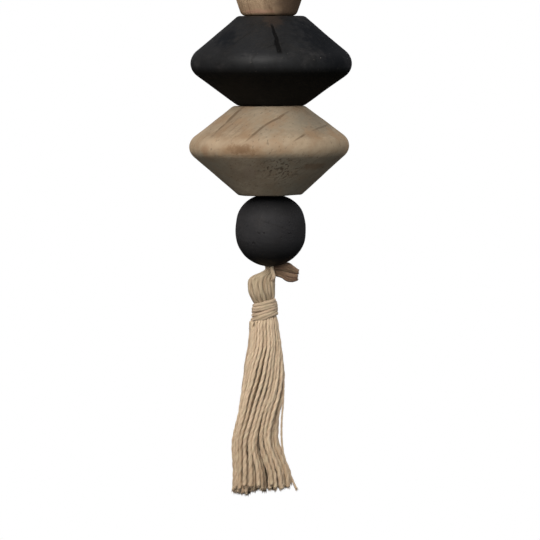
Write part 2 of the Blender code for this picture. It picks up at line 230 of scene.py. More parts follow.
def mixColour(tree, factor, a, b, blend="MIX"):
    node = addNode(tree, "ShaderNodeMix", data_type="RGBA", blend_type=blend)
    for key, value in ((0, factor), (6, a), (7, b)):
        if isinstance(value, bpy.types.NodeSocket):
            tree.links.new(value, node.inputs[key])
        else:
            node.inputs[key].default_value = value
    return node.outputs[2]


def stretched(tree, place, scale):
    return addNode(tree, "ShaderNodeVectorMath", {0: place, 1: scale}, operation="MULTIPLY").outputs[0]


def newMaterial(name, roughness):
    made = bpy.data.materials.new(name)
    made.use_nodes = True
    shader = made.node_tree.nodes["Principled BSDF"]
    shader.inputs["Roughness"].default_value = roughness
    return made, made.node_tree, shader


def addBump(tree, shader, height, strength, distance):
    bump = addNode(tree, "ShaderNodeBump", {"Height": height, "Strength": strength, "Distance": distance})
    tree.links.new(bump.outputs["Normal"], shader.inputs["Normal"])


# Wood: growth lines, grain and mottling, shared by all the beads

def makeWoodGroup():
    tree, start, end = newGroup(
        "turnedWood",
        [
            ("Place", "NodeSocketVector", (0, 0, 0)),
            ("Grain", "NodeSocketVector", (0, 0, 0)),
            ("Rings", "NodeSocketFloat", 0.0),
            ("Light", "NodeSocketColor", (0.5, 0.4, 0.28, 1)),
            ("Dark", "NodeSocketColor", (0.3, 0.19, 0.1, 1)),
            ("Line Strength", "NodeSocketFloat", 0.8),
        ],
        [("Color", "NodeSocketColor"), ("Height", "NodeSocketFloat"), ("Line", "NodeSocketFloat")],
    )
    place = start.outputs["Place"]
    grainPlaces = start.outputs["Grain"]
    waver = toRange(tree, noise(tree, place, 60.0, 2.0), 0.3, 0.7, -0.05, 0.05)
    rings = maths(tree, "ADD", start.outputs["Rings"], waver)
    # a thin dark line at each whole ring, broken here and there, and faint ones between
    part = maths(tree, "FRACT", rings)
    fromMiddle = maths(tree, "ABSOLUTE", maths(tree, "SUBTRACT", part, 0.5))
    broken = toRange(tree, noise(tree, place, 120.0, 3.0), 0.40, 0.58)
    line = maths(tree, "MULTIPLY", toRange(tree, fromMiddle, 0.455, 0.484, 0.0, 1.3), broken)
    soft = toRange(tree, part, 0.74, 1.0, 0.0, 0.20)
    between = maths(tree, "FRACT", maths(tree, "MULTIPLY", rings, 6.0))
    between = toRange(tree, maths(tree, "ABSOLUTE", maths(tree, "SUBTRACT", between, 0.5)), 0.32, 0.5, 0.0, 0.16)
    line = maths(tree, "ADD", line, maths(tree, "ADD", soft, maths(tree, "MULTIPLY", between, broken)))
    line = maths(tree, "MULTIPLY", line, start.outputs["Line Strength"])
    # fibres, then mottling in two sizes
    fine = noise(tree, stretched(tree, grainPlaces, (1500.0, 900.0, 110.0)), 1.0, 3.0)
    fibres = toRange(tree, fine, 0.36, 0.66, 0.0, 0.26)
    mottle = toRange(tree, noise(tree, place, 85.0, 6.0, 0.66), 0.38, 0.66, 0.0, 0.62)
    small = noise(tree, stretched(tree, grainPlaces, (520.0, 520.0, 260.0)), 1.0, 3.0)
    small = toRange(tree, small, 0.45, 0.7, 0.0, 0.22)
    tone = maths(tree, "ADD", maths(tree, "ADD", fibres, mottle), maths(tree, "ADD", small, line))
    tone = maths(tree, "MINIMUM", tone, 1.0)
    height = maths(tree, "SUBTRACT", fine, maths(tree, "MULTIPLY", line, 0.4))
    tree.links.new(mixColour(tree, tone, start.outputs["Light"], start.outputs["Dark"]), end.inputs["Color"])
    tree.links.new(height, end.inputs["Height"])
    tree.links.new(line, end.inputs["Line"])
    return tree


# Fine rings left by the lathe, the same all the way round the bead

def makeLatheGroup():
    tree, start, end = newGroup(
        "latheMarks", [("Place", "NodeSocketVector", (0, 0, 0))], [("Height", "NodeSocketFloat")]
    )
    split = addNode(tree, "ShaderNodeSeparateXYZ", {0: start.outputs["Place"]})
    flat = addNode(tree, "ShaderNodeCombineXYZ", {"X": split.outputs["X"], "Y": split.outputs["Y"]})
    out = addNode(tree, "ShaderNodeVectorMath", {0: flat.outputs[0]}, operation="LENGTH").outputs["Value"]
    profile = addNode(tree, "ShaderNodeCombineXYZ", {"X": out, "Y": split.outputs["Z"]}).outputs[0]
    tree.links.new(noise(tree, profile, 1700.0, 2.0), end.inputs["Height"])
    return tree


# A soft-edged spot round a place on the piece: 1 in its middle, 0 outside

def makeSpotGroup():
    tree, start, end = newGroup(
        "softSpot",
        [
            ("Place", "NodeSocketVector", (0, 0, 0)),
            ("Centre", "NodeSocketVector", (0, 0, 0)),
            ("Reach", "NodeSocketVector", (0.01, 0.01, 0.01)),
            ("Raggedness", "NodeSocketFloat", 0.5),
        ],
        [("Mask", "NodeSocketFloat")],
    )
    place = start.outputs["Place"]
    apart = addNode(tree, "ShaderNodeVectorMath", {0: place, 1: start.outputs["Centre"]}, operation="SUBTRACT")
    scaled = addNode(
        tree, "ShaderNodeVectorMath", {0: apart.outputs[0], 1: start.outputs["Reach"]}, operation="DIVIDE"
    )
    far = addNode(tree, "ShaderNodeVectorMath", {0: scaled.outputs[0]}, operation="LENGTH").outputs["Value"]
    ragged = toRange(tree, noise(tree, place, 420.0, 4.0, 0.6), 0.25, 0.75, -0.5, 0.5)
    edge = maths(tree, "ADD", far, maths(tree, "MULTIPLY", ragged, start.outputs["Raggedness"]))
    tree.links.new(toRange(tree, edge, 0.45, 1.1, 1.0, 0.0), end.inputs["Mask"])
    return tree


woodGroup = makeWoodGroup()
latheGroup = makeLatheGroup()
spotGroup = makeSpotGroup()


def groupNode(tree, group, inputs):
    node = tree.nodes.new("ShaderNodeGroup")
    node.node_tree = group
    for key, value in inputs.items():
        if isinstance(value, bpy.types.NodeSocket):
            tree.links.new(value, node.inputs[key])
        else:
            node.inputs[key].default_value = value
    return node


def objectPlace(tree):
    return addNode(tree, "ShaderNodeTexCoord").outputs["Object"]


def grainPlace(tree, turn):
    return addNode(tree, "ShaderNodeMapping", {"Vector": objectPlace(tree), "Rotation": turn}).outputs[0]


def spotMask(tree, spot):
    centre, reach, raggedness = spot
    inputs = {"Place": objectPlace(tree), "Centre": centre, "Reach": reach, "Raggedness": raggedness}
    return groupNode(tree, spotGroup, inputs).outputs["Mask"]


def addLatheMarks(tree, height, share):
    marks = groupNode(tree, latheGroup, {"Place": objectPlace(tree)}).outputs["Height"]
    return maths(tree, "ADD", height, maths(tree, "MULTIPLY", marks, share))


naturalBeadWood = {
    "light": (0.43, 0.33, 0.225, 1),
    "dark": (0.19, 0.125, 0.072, 1),
    "grey": (0.29, 0.26, 0.195, 1),
    "paintedTopShade": (0.245, 0.200, 0.142, 1),
    "wornAndLitRim": (0.35, 0.258, 0.165, 1),
    "warmStain": (0.31, 0.20, 0.115, 1),
    "underside": (0.20, 0.182, 0.143, 1),
    "rimLevel": -0.1062,
    "ringAxis": (0.0397, 0.0, -0.1551),  # the growth rings are circles about a line through here, front to back
    "ringSpacing": 0.00993,
    "grainTurn": (0.0, math.radians(-55), 0.0),
    # spots: centre, reach, raggedness
    "rimPatch": ((-0.0116, -0.0262, -0.1078), (0.0085, 0.0100, 0.0024), 0.9),
    "rimPatchCore": ((-0.0100, -0.0285, -0.1074), (0.0050, 0.0080, 0.0023), 1.0),
    "leftWorn": ((-0.0205, -0.0190, -0.1065), (0.0044, 0.0100, 0.0036), 0.6),
    "leftPatch": ((-0.0228, -0.0180, -0.1078), (0.0016, 0.0080, 0.0022), 0.8),
    "rightShade": ((0.0165, -0.0130, -0.0972), (0.0095, 0.0130, 0.0042), 0.8),
    "rightSmear": ((0.0160, -0.0180, -0.1135), (0.0060, 0.0090, 0.0015), 0.9),
    "lowLeftSmear": ((-0.0075, -0.0200, -0.1160), (0.0030, 0.0080, 0.0036), 1.0),
    "speckle": ((0.0036, -0.0220, -0.1140), (0.0085, 0.0090, 0.0062), 0.7),
}


def makeNaturalWood():
    finish, tree, shader = newMaterial("bareWood", 0.62)
    place = objectPlace(tree)
    flat = stretched(tree, place, (1.0, 0.0, 1.0))
    toAxis = addNode(
        tree, "ShaderNodeVectorMath", {0: flat, 1: naturalBeadWood["ringAxis"]}, operation="DISTANCE"
    ).outputs["Value"]
    level = addNode(tree, "ShaderNodeSeparateXYZ", {0: place}).outputs["Z"]
    wood = groupNode(
        tree,
        woodGroup,
        {
            "Place": place,
            "Grain": grainPlace(tree, naturalBeadWood["grainTurn"]),
            "Rings": maths(tree, "DIVIDE", toAxis, naturalBeadWood["ringSpacing"]),
            "Light": naturalBeadWood["light"],
            "Dark": naturalBeadWood["dark"],
            # the lines fade where the rim was sanded
            "Line Strength": toRange(tree, level, -0.1050, -0.1010, 0.18, 1.7),
        },
    )
    colour = wood.outputs["Color"]
    greyness = toRange(tree, noise(tree, place, 45.0, 3.0), 0.42, 0.66, 0.0, 0.55)
    colour = mixColour(tree, greyness, colour, naturalBeadWood["grey"])
    # painted shade: darker and greyer towards the top of the upper face
    upper = toRange(tree, level, -0.1035, -0.0990, 0.0, 0.42)
    colour = mixColour(tree, upper, colour, naturalBeadWood["paintedTopShade"])
    # paler along the rim: partly handling wear, partly painted light
    fromRim = maths(tree, "ABSOLUTE", maths(tree, "SUBTRACT", level, naturalBeadWood["rimLevel"]))
    worn = toRange(tree, fromRim, 0.0018, 0.0040, 0.50, 0.0)
    colour = mixColour(tree, worn, colour, naturalBeadWood["wornAndLitRim"])
    warm = toRange(tree, noise(tree, place, 170.0, 5.0, 0.62), 0.47, 0.64, 0.0, 0.6)
    colour = mixColour(tree, warm, colour, naturalBeadWood["warmStain"])
    # painted shade: greyer and darker under the rim
    under = toRange(tree, level, -0.1088, -0.1112, 0.0, 0.5)
    colour = mixColour(tree, under, colour, naturalBeadWood["underside"])
    darkLine = toRange(tree, wood.outputs["Line"], 0.35, 1.4, 0.0, 0.75)
    colour = mixColour(tree, darkLine, colour, (0.13, 0.085, 0.052, 1))
    for name, strength, stain in (
        ("rightShade", 0.6, (0.20, 0.175, 0.135, 1)),
        ("rimPatch", 0.65, (0.30, 0.19, 0.105, 1)),
        ("rimPatchCore", 0.75, (0.17, 0.095, 0.048, 1)),
        ("leftWorn", 0.5, (0.48, 0.37, 0.25, 1)),
        ("leftPatch", 0.5, (0.27, 0.15, 0.08, 1)),
        ("rightSmear", 0.7, (0.20, 0.13, 0.08, 1)),
        ("lowLeftSmear", 0.5, (0.26, 0.20, 0.15, 1)),
    ):
        mask = spotMask(tree, naturalBeadWood[name])
        colour = mixColour(tree, maths(tree, "MULTIPLY", mask, strength), colour, stain)
    # short dark pores, cut open at a slant
    slanted = stretched(tree, grainPlace(tree, (0.0, math.radians(-20), 0.0)), (1200.0, 1200.0, 430.0))
    dashes = noise(tree, slanted, 1.0, 1.0)
    few = maths(tree, "MULTIPLY", toRange(tree, dashes, 0.65, 0.71), 0.4)
    many = maths(tree, "MULTIPLY", toRange(tree, dashes, 0.54, 0.62), spotMask(tree, naturalBeadWood["speckle"]))
    dashes = maths(tree, "MAXIMUM", few, maths(tree, "MULTIPLY", many, 0.8))
    colour = mixColour(tree, dashes, colour, (0.10, 0.07, 0.045, 1))
    tree.links.new(colour, shader.inputs["Base Color"])
    height = maths(tree, "SUBTRACT", wood.outputs["Height"], dashes)
    tree.links.new(toRange(tree, height, 0.0, 0.9, 0.74, 0.56), shader.inputs["Roughness"])
    addBump(tree, shader, addLatheMarks(tree, height, 0.5), 0.45, 0.0002)
    return finish


barrelWood = {
    "light": (0.40, 0.285, 0.18, 1),
    "dark": (0.17, 0.10, 0.055, 1),
    "shadedSide": (0.085, 0.054, 0.035, 1),
    "blush": ((-0.0050, -0.0090, -0.0596), (0.0070, 0.0060, 0.0010), 0.8),
}


def makeBarrelWood():
    finish, tree, shader = newMaterial("brownedWood", 0.6)
    place = objectPlace(tree)
    turned = grainPlace(tree, (0.0, math.radians(12), math.radians(20)))
    rings = maths(tree, "DIVIDE", addNode(tree, "ShaderNodeSeparateXYZ", {0: turned}).outputs["X"], 0.0078)
    wood = groupNode(
        tree,
        woodGroup,
        {
            "Place": place,
            "Grain": turned,
            "Rings": rings,
            "Light": barrelWood["light"],
            "Dark": barrelWood["dark"],
            "Line Strength": 0.3,
        },
    )
    across = addNode(tree, "ShaderNodeSeparateXYZ", {0: place}).outputs["X"]
    ragged = toRange(tree, noise(tree, place, 160.0, 4.0), 0.3, 0.7, -0.003, 0.003)
    # painted shade: darkened towards the right side
    side = toRange(tree, maths(tree, "ADD", across, ragged), -0.0035, 0.0060, 0.0, 0.93)  # browner to the right
    colour = mixColour(tree, side, wood.outputs["Color"], barrelWood["shadedSide"])
    blush = maths(tree, "MULTIPLY", spotMask(tree, barrelWood["blush"]), 0.5)
    colour = mixColour(tree, blush, colour, (0.36, 0.19, 0.14, 1))
    tree.links.new(colour, shader.inputs["Base Color"])
    tree.links.new(toRange(tree, wood.outputs["Height"], 0.0, 0.9, 0.72, 0.54), shader.inputs["Roughness"])
    addBump(tree, shader, addLatheMarks(tree, wood.outputs["Height"], 0.5), 0.4, 0.0002)
    return finish


# Black stain over the same wood: satin on the big bead, duller on the round one

blackStain = {
    "colour": (0.0150, 0.0156, 0.0168, 1),
    "worn": (0.040, 0.033, 0.028, 1),
    "speck": (0.17, 0.15, 0.13, 1),
    "topTint": ((0.0012, -0.0150, -0.0626), (0.0038, 0.0100, 0.0030), 0.9),
    # a dark blot on the left, then painted shade down the right side
    "blotsAndRightShade": (
        # centre, reach, raggedness
        ((-0.0158, -0.0150, -0.0684), (0.0046, 0.0100, 0.0046), 1.0),
        ((0.0170, -0.0140, -0.0662), (0.0100, 0.0150, 0.0085), 1.0),
        ((0.0232, -0.0120, -0.0735), (0.0128, 0.0160, 0.0100), 0.7),
    ),
    "rimLevel": -0.0768,
    "crackTop": (0.0000, -0.0634),
    "crackBottom": (0.0032, -0.0745),
}


def crackMask(tree):
    # a dark split down the front, wider at its lower end
    (topX, topZ), (lowX, lowZ) = blackStain["crackTop"], blackStain["crackBottom"]
    place = objectPlace(tree)
    split = addNode(tree, "ShaderNodeSeparateXYZ", {0: place})
    down = toRange(tree, split.outputs["Z"], topZ, lowZ)
    bow = maths(tree, "POWER", down, 0.8)
    line = toRange(tree, bow, 0.0, 1.0, topX, lowX)
    waver = toRange(tree, noise(tree, place, 260.0, 2.0), 0.3, 0.7, -0.00035, 0.00035)
    off = maths(tree, "ABSOLUTE", maths(tree, "ADD", maths(tree, "SUBTRACT", split.outputs["X"], line), waver))
    off = maths(tree, "DIVIDE", off, toRange(tree, down, 0.0, 1.0, 0.00050, 0.00110))
    thin = toRange(tree, off, 0.55, 1.05, 1.0, 0.0)
    above = toRange(tree, split.outputs["Z"], topZ, topZ - 0.0012)
    below = toRange(tree, split.outputs["Z"], lowZ, lowZ + 0.0008)
    front = toRange(tree, split.outputs["Y"], -0.004, -0.006)
    return maths(tree, "MULTIPLY", maths(tree, "MULTIPLY", thin, front), maths(tree, "MULTIPLY", above, below))


def makeBlackStain(name, roughness, turn, big):
    finish, tree, shader = newMaterial(name, roughness)
    place = objectPlace(tree)
    turned = grainPlace(tree, turn)
    wood = groupNode(
        tree,
        woodGroup,
        {
            "Place": place,
            "Grain": turned,
            "Rings": maths(tree, "DIVIDE", addNode(tree, "ShaderNodeSeparateXYZ", {0: turned}).outputs["X"], 0.009),
            "Light": blackStain["colour"],
            "Dark": (0.0085, 0.0085, 0.0085, 1),
            "Line Strength": 0.5,
        },
    )
    colour = wood.outputs["Color"]
    height = wood.outputs["Height"]
    rub = toRange(tree, noise(tree, place, 150.0, 5.0, 0.65), 0.5, 0.78, 0.0, 0.3)
    colour = mixColour(tree, rub, colour, blackStain["worn"])
    gloss = toRange(tree, noise(tree, place, 55.0, 3.0), 0.35, 0.65, roughness - 0.05, roughness + 0.07)
    specks = toRange(tree, noise(tree, place, 1300.0, 1.0), 0.745, 0.785)
    if big:
        tint = maths(tree, "MULTIPLY", spotMask(tree, blackStain["topTint"]), 0.6)
        colour = mixColour(tree, tint, colour, (0.035, 0.024, 0.018, 1))
        # dark blot on the left, painted shade on the right
        for darkSpot in blackStain["blotsAndRightShade"]:
            mask = spotMask(tree, darkSpot)
            colour = mixColour(tree, maths(tree, "MULTIPLY", mask, 0.9), colour, (0.0035, 0.0045, 0.0062, 1))
            gloss = maths(tree, "ADD", gloss, maths(tree, "MULTIPLY", mask, 0.12))
        level = addNode(tree, "ShaderNodeSeparateXYZ", {0: place}).outputs["Z"]
        fromRim = maths(tree, "ABSOLUTE", maths(tree, "SUBTRACT", level, blackStain["rimLevel"]))
        specks = maths(tree, "MULTIPLY", specks, toRange(tree, fromRim, 0.001, 0.005, 1.0, 0.1))
        # paler along the rim, partly handling wear and partly a painted highlight, and painted shade makes it blacker
        # under the rim
        rimWearAndSheen = maths(tree, "MULTIPLY", toRange(tree, fromRim, 0.0022, 0.0042, 1.0, 0.0), maths(tree, "ADD", rub, 0.04))
        colour = mixColour(tree, rimWearAndSheen, colour, (0.075, 0.072, 0.074, 1))
        under = toRange(tree, level, blackStain["rimLevel"] - 0.0020, blackStain["rimLevel"] - 0.0042)
        colour = mixColour(tree, under, colour, (0.0022, 0.0021, 0.0018, 1))
        gloss = maths(tree, "ADD", gloss, maths(tree, "MULTIPLY", under, 0.45))
        shader.inputs["Specular IOR Level"].default_value = 0.34
        crack = crackMask(tree)
        colour = mixColour(tree, crack, colour, (0.0015, 0.0015, 0.0015, 1))
        gloss = maths(tree, "ADD", gloss, maths(tree, "MULTIPLY", crack, 0.4))
        height = maths(tree, "SUBTRACT", height, maths(tree, "MULTIPLY", crack, 3.0))
    else:
        pores = toRange(tree, noise(tree, place, 620.0, 1.0), 0.69, 0.73)
        colour = mixColour(tree, pores, colour, (0.003, 0.003, 0.003, 1))
        height = maths(tree, "SUBTRACT", height, maths(tree, "MULTIPLY", pores, 2.5))
        specks = maths(tree, "MULTIPLY", specks, 0.25)
        colour = mixColour(tree, 0.24, colour, (0.059, 0.055, 0.058, 1))
        rim = addNode(tree, "ShaderNodeSeparateXYZ", {0: place}).outputs["Z"]
        # painted shadow of the bead above darkens the top, and painted shade darkens the underside
        top = toRange(tree, rim, -0.1315, -0.1262, 0.0, 0.95)
        colour = mixColour(tree, top, colour, (0.006, 0.006, 0.0065, 1))
        low = toRange(tree, rim, -0.1400, -0.1460, 0.0, 0.88)
        colour = mixColour(tree, low, colour, (0.005, 0.005, 0.005, 1))
        shader.inputs["Specular IOR Level"].default_value = 0.28
    colour = mixColour(tree, maths(tree, "MULTIPLY", specks, 0.6), colour, blackStain["speck"])
    tree.links.new(colour, shader.inputs["Base Color"])
    tree.links.new(gloss, shader.inputs["Roughness"])
    addBump(tree, shader, addLatheMarks(tree, height, 0.4), 0.45, 0.0002)
    return finish


# Jute: the fibres run along each ply, with painted shade down between the plies and where each twine's groove
# attribute adds more

def makeJuteGroup():
    tree, start, end = newGroup(
        "juteFibre",
        [
            ("Light", "NodeSocketColor", (0.6, 0.47, 0.33, 1)),
            ("Dark", "NodeSocketColor", (0.3, 0.2, 0.12, 1)),
            ("Green", "NodeSocketColor", (0.5, 0.45, 0.29, 1)),
            ("Groove Shade", "NodeSocketFloat", 0.6),
        ],
        [("Color", "NodeSocketColor"), ("Height", "NodeSocketFloat")],
    )
    fibre = addNode(tree, "ShaderNodeAttribute", attribute_name="fibre").outputs["Vector"]
    tint = addNode(tree, "ShaderNodeAttribute", attribute_name="tint").outputs["Fac"]
    groove = addNode(tree, "ShaderNodeAttribute", attribute_name="groove").outputs["Fac"]
    streak = noise(tree, stretched(tree, fibre, (1.0, 1.0, 0.6)), 6.5, 4.0, 0.6)
    broad = noise(tree, fibre, 0.9, 3.0)
    tone = toRange(tree, streak, 0.34, 0.66, 0.0, 0.7)
    tone = maths(tree, "ADD", tone, toRange(tree, broad, 0.3, 0.7, 0.0, 0.35))
    tone = maths(tree, "ADD", tone, toRange(tree, tint, 0.0, 1.0, -0.2, 0.34))
    tone = maths(tree, "ADD", tone, maths(tree, "MULTIPLY", groove, start.outputs["Groove Shade"]))
    colour = mixColour(tree, toRange(tree, tone, 0.0, 1.3), start.outputs["Light"], start.outputs["Dark"])
    green = noise(tree, stretched(tree, fibre, (0.3, 0.3, 0.5)), 1.3, 2.0)
    colour = mixColour(tree, toRange(tree, green, 0.45, 0.7, 0.0, 0.45), colour, start.outputs["Green"])
    tree.links.new(colour, end.inputs["Color"])
    tree.links.new(streak, end.inputs["Height"])
    return tree


juteGroup = makeJuteGroup()


def makeJute(name, light, dark, green, grooveShade):
    finish, tree, shader = newMaterial(name, 0.85)
    shader.inputs["Sheen Weight"].default_value = 0.12
    shader.inputs["Sheen Roughness"].default_value = 0.5
    shader.inputs["Specular IOR Level"].default_value = 0.3
    jute = groupNode(tree, juteGroup, {"Light": light, "Dark": dark, "Green": green, "Groove Shade": grooveShade})
    tree.links.new(jute.outputs["Color"], shader.inputs["Base Color"])
    addBump(tree, shader, jute.outputs["Height"], 0.7, 0.00012)
    return finish


bareWood = makeNaturalWood()
brownedWood = makeBarrelWood()
satinBlack = makeBlackStain("satinBlackStain", 0.46, (0.0, 0.2, 1.2), True)
dullBlack = makeBlackStain("dullBlackStain", 0.60, (0.4, 1.2, 0.3), False)
skirtJute = makeJute("skirtJute", (0.77, 0.60, 0.43, 1), (0.43, 0.305, 0.195, 1), (0.60, 0.52, 0.35, 1), 0.36)
# painted shade: the head is the skirt's own strands, given a darker copy of their jute
shadedHeadJute = makeJute("shadedHeadJute", (0.54, 0.42, 0.29, 1), (0.26, 0.185, 0.115, 1), (0.41, 0.36, 0.235, 1), 0.5)
bindingJute = makeJute("bindingJute", (0.60, 0.46, 0.33, 1), (0.30, 0.205, 0.13, 1), (0.47, 0.40, 0.26, 1), 0.35)
# the cord's tied ends: partly darker jute, partly painted shadow of the round bead above
shadedEndsJute = makeJute("shadedEndsJute", (0.30, 0.19, 0.125, 1), (0.10, 0.056, 0.036, 1), (0.23, 0.18, 0.10, 1), 0.5)
print("materials done")


# Beads, turned from rings pulled out of one circle

beadSettings = {
    # radii and roundings are at the top, the rim and the bottom, and cuts are plain rings down a long side;
    # sits is how far the bead has slid to the right on its cord, and how much its right side is raised;
    # lowered brings its underside nearer the bead below, as good as touching
    "top_barrel_bead": {
        "node": "bead_barrel_natural",
        "radii": (0.0098, 0.0141, 0.0096),
        "middle": 0.5,
        "rounding": (0.0012, 0.0090, 0.0020),
        "cuts": 4,
        "firstCut": 0.22,
        "uneven": 0.00030,
        "sits": (-0.0006, 0.0),
        "lowered": 0.0002,
    },
    "black_bicone_bead": {
        "node": "bead_bicone_black",
        "radii": (0.0118, 0.0320, 0.0117),
        "middle": 16.9 / 31.4,
        "rounding": (0.0021, 0.0058, 0.0024),
        "cuts": 7,
        "firstCut": 0.08,
        "uneven": 0.00035,
        "sits": (0.0002, 0.0),
        "lowered": 0.0002,
    },
    "natural_bicone_bead": {
        "node": "bead_bicone_natural",
        "radii": (0.0126, 0.0310, 0.0112),
        "middle": 14.0 / 31.5,
        "rounding": (0.0020, 0.0048, 0.0012),
        "cuts": 7,
        "firstCut": 0.08,
        "uneven": 0.00040,
        "sits": (-0.0004, math.radians(0.5)),
        "lowered": 0.0,
    },
}
beadSides = 128
boreRadius = 0.0023


def pickRing(bead, radius, height):
    # selects one ring of points by its place, ready for an edge tool
    bpy.ops.object.mode_set(mode="EDIT")
    bpy.ops.mesh.select_mode(type="VERT")
    bpy.ops.mesh.select_all(action="DESELECT")
    bpy.ops.object.mode_set(mode="OBJECT")
    for point in bead.data.vertices:
        out = math.hypot(point.co.x, point.co.y)
        point.select = abs(out - radius) < 0.00005 and abs(point.co.z - height) < 0.00005
    bpy.ops.object.mode_set(mode="EDIT")


def pullRings(levels):
    # one circle, pulled out into the next ring again and again, then closed through the bore
    deselectAll()
    radius, height = levels[0]
    bpy.ops.mesh.primitive_circle_add(vertices=beadSides, radius=radius, location=(0, 0, height))
    bead = bpy.context.object
    bpy.ops.object.transform_apply(location=True, rotation=True, scale=True)
    bpy.ops.object.mode_set(mode="EDIT")
    bpy.ops.mesh.select_all(action="SELECT")
    for nextRadius, nextHeight in levels[1:]:
        bpy.ops.mesh.extrude_region_move(TRANSFORM_OT_translate={"value": (0, 0, nextHeight - height)})
        grow = nextRadius / radius
        bpy.ops.transform.resize(value=(grow, grow, 1), center_override=(0, 0, nextHeight))
        radius, height = nextRadius, nextHeight
    bpy.ops.mesh.select_all(action="DESELECT")
    bpy.ops.mesh.select_non_manifold()
    bpy.ops.mesh.bridge_edge_loops()
    bpy.ops.mesh.select_all(action="SELECT")
    bpy.ops.mesh.normals_make_consistent(inside=False)
    bpy.ops.object.mode_set(mode="OBJECT")
    return bead


def roundRing(bead, before, corner, after, rounding, steps):
    # how far back the rounding starts on each side of the corner
    here = Vector(corner)
    half = (Vector(before) - here).angle(Vector(after) - here) / 2
    pickRing(bead, corner[0], corner[1])
    bpy.ops.mesh.bevel(offset=rounding / math.tan(half), offset_type="OFFSET", segments=steps, profile=0.5)
    bpy.ops.object.mode_set(mode="OBJECT")


def unevenSurface(bead, strength, size):
    # the small lumps that sanding by hand leaves
    lumps = bpy.data.textures.new(bead.name + "Lumps", "CLOUDS")
    lumps.noise_scale = size
    lumps.noise_depth = 1
    wobble = bead.modifiers.new("wobble", "DISPLACE")
    wobble.texture = lumps
    wobble.texture_coords = "LOCAL"
    wobble.strength = strength
    wobble.mid_level = 0.5
    makeActive(bead)
    bpy.ops.object.modifier_apply(modifier="wobble")
    bpy.ops.object.shade_smooth()


def seatBead(bead, slide, lift):
    # slid and tipped on the cord, about its own middle
    heights = [point.co.z for point in bead.data.vertices]
    middle = (max(heights) + min(heights)) / 2
    makeActive(bead)
    bpy.ops.object.mode_set(mode="EDIT")
    bpy.ops.mesh.select_all(action="SELECT")
    bpy.ops.transform.rotate(value=lift, orient_axis="Y", center_override=(0, 0, middle))
    bpy.ops.transform.translate(value=(slide, 0, 0))
    bpy.ops.object.mode_set(mode="OBJECT")


def partWay(a, b, share):
    return tuple(x + (y - x) * share for x, y in zip(a, b))


def makeConeBead(name, settings):
    low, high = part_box(settings["node"])
    top, bottom = high.z, low.z - settings["lowered"]
    topRadius, wideRadius, lowRadius = settings["radii"]
    middle = (wideRadius, top - (top - bottom) * settings["middle"])
    topEdge, lowEdge = (topRadius, top), (lowRadius, bottom)
    boreTop, boreLow = (boreRadius, top), (boreRadius, bottom)
    # plain rings only on the straight part of each side, clear of the roundings
    here = Vector(middle)
    half = (Vector(topEdge) - here).angle(Vector(lowEdge) - here) / 2
    clearOf = settings["rounding"][1] / math.tan(half) / (Vector(topEdge) - here).length + 0.03
    first, last = settings["firstCut"], 1 - clearOf
    shares = [first + (last - first) * k / settings["cuts"] for k in range(settings["cuts"] + 1)]
    levels = [boreTop, partWay(boreTop, topEdge, 0.55), topEdge]
    levels += [partWay(topEdge, middle, share) for share in shares]
    levels += [middle]
    levels += [partWay(lowEdge, middle, share) for share in reversed(shares)]
    levels += [lowEdge, partWay(boreLow, lowEdge, 0.55), boreLow]
    bead = pullRings(levels)
    bead.name = name
    topRound, wideRound, lowRound = settings["rounding"]
    roundRing(bead, topEdge, middle, lowEdge, wideRound, 14)
    roundRing(bead, boreTop, topEdge, middle, topRound, 5)
    roundRing(bead, middle, lowEdge, boreLow, lowRound, 5)
    roundRing(bead, boreLow, boreTop, topEdge, 0.0004, 2)
    roundRing(bead, lowEdge, boreLow, boreTop, 0.0004, 2)
    unevenSurface(bead, settings["uneven"], 0.011)
    seatBead(bead, *settings["sits"])
    return bead


roundBead = {
    "node": "bead_round_black",
    "radius": 0.01255,
    "topSquare": 0.87,  # under 1 is fuller than a ball
    "lowSquare": 0.94,
    "rings": 44,
    "raised": 0.0007,  # its top meets the bead above
    "lowered": 0.0002,
}


def makeRoundBead():
    low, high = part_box(roundBead["node"])
    top = high.z + roundBead["raised"]
    height = top - low.z + roundBead["lowered"]
    levels = []
    for k in range(1, roundBead["rings"]):
        angle = math.pi * k / roundBead["rings"]
        square = roundBead["topSquare"] if angle < math.pi / 2 else roundBead["lowSquare"]
        out = roundBead["radius"] * math.sin(angle) ** square
        up = math.copysign(abs(math.cos(angle)) ** square, math.cos(angle)) * height / 2
        if out > boreRadius + 0.0002:
            levels.append((out, top - height / 2 + up))
    bore = [(boreRadius, levels[0][1] - 0.0004), (boreRadius, levels[-1][1] + 0.0004)]
    bead = pullRings([bore[0]] + levels + [bore[1]])
    bead.name = "round_black_bead"
    unevenSurface(bead, 0.00055, 0.008)
    return bead


beadFinishes = {
    "top_barrel_bead": (brownedWood, "bare_wood"),
    "black_bicone_bead": (satinBlack, "black_paint"),
    "natural_bicone_bead": (bareWood, "bare_wood"),
}
for beadName, beadSizes in beadSettings.items():
    finish, slotName = beadFinishes[beadName]
    finishPiece(makeConeBead(beadName, beadSizes), finish, slotName, beadSizes["node"])
finishPiece(makeRoundBead(), dullBlack, "black_paint", roundBead["node"])
print("beads done")


# Twine: a twisted section swept along a path, with the fibre direction kept for the material

def smoothPath(points, steps):
    made = []
    for i in range(len(points) - 1):
        before, here = points[max(i - 1, 0)], points[i]
        after, last = points[i + 1], points[min(i + 2, len(points) - 1)]
        for k in range(steps):
            t = k / steps
            bend = 2 * before - 5 * here + 4 * after - last
            turn = 3 * here - before - 3 * after + last
            made.append(0.5 * (2 * here + (after - before) * t + bend * t * t + turn * t * t * t))
    return made + [points[-1]]


def evenPath(points, spacing):
    # the same path with its points this far apart
    line = np.array([tuple(p) for p in points])
    steps = np.linalg.norm(np.diff(line, axis=0), axis=1)
    along = np.concatenate([[0], np.cumsum(steps)])
    count = max(3, int(round(along[-1] / spacing)) + 1)
    places = np.linspace(0, along[-1], count)
    return np.stack([np.interp(places, along, line[:, axis]) for axis in range(3)], axis=1)


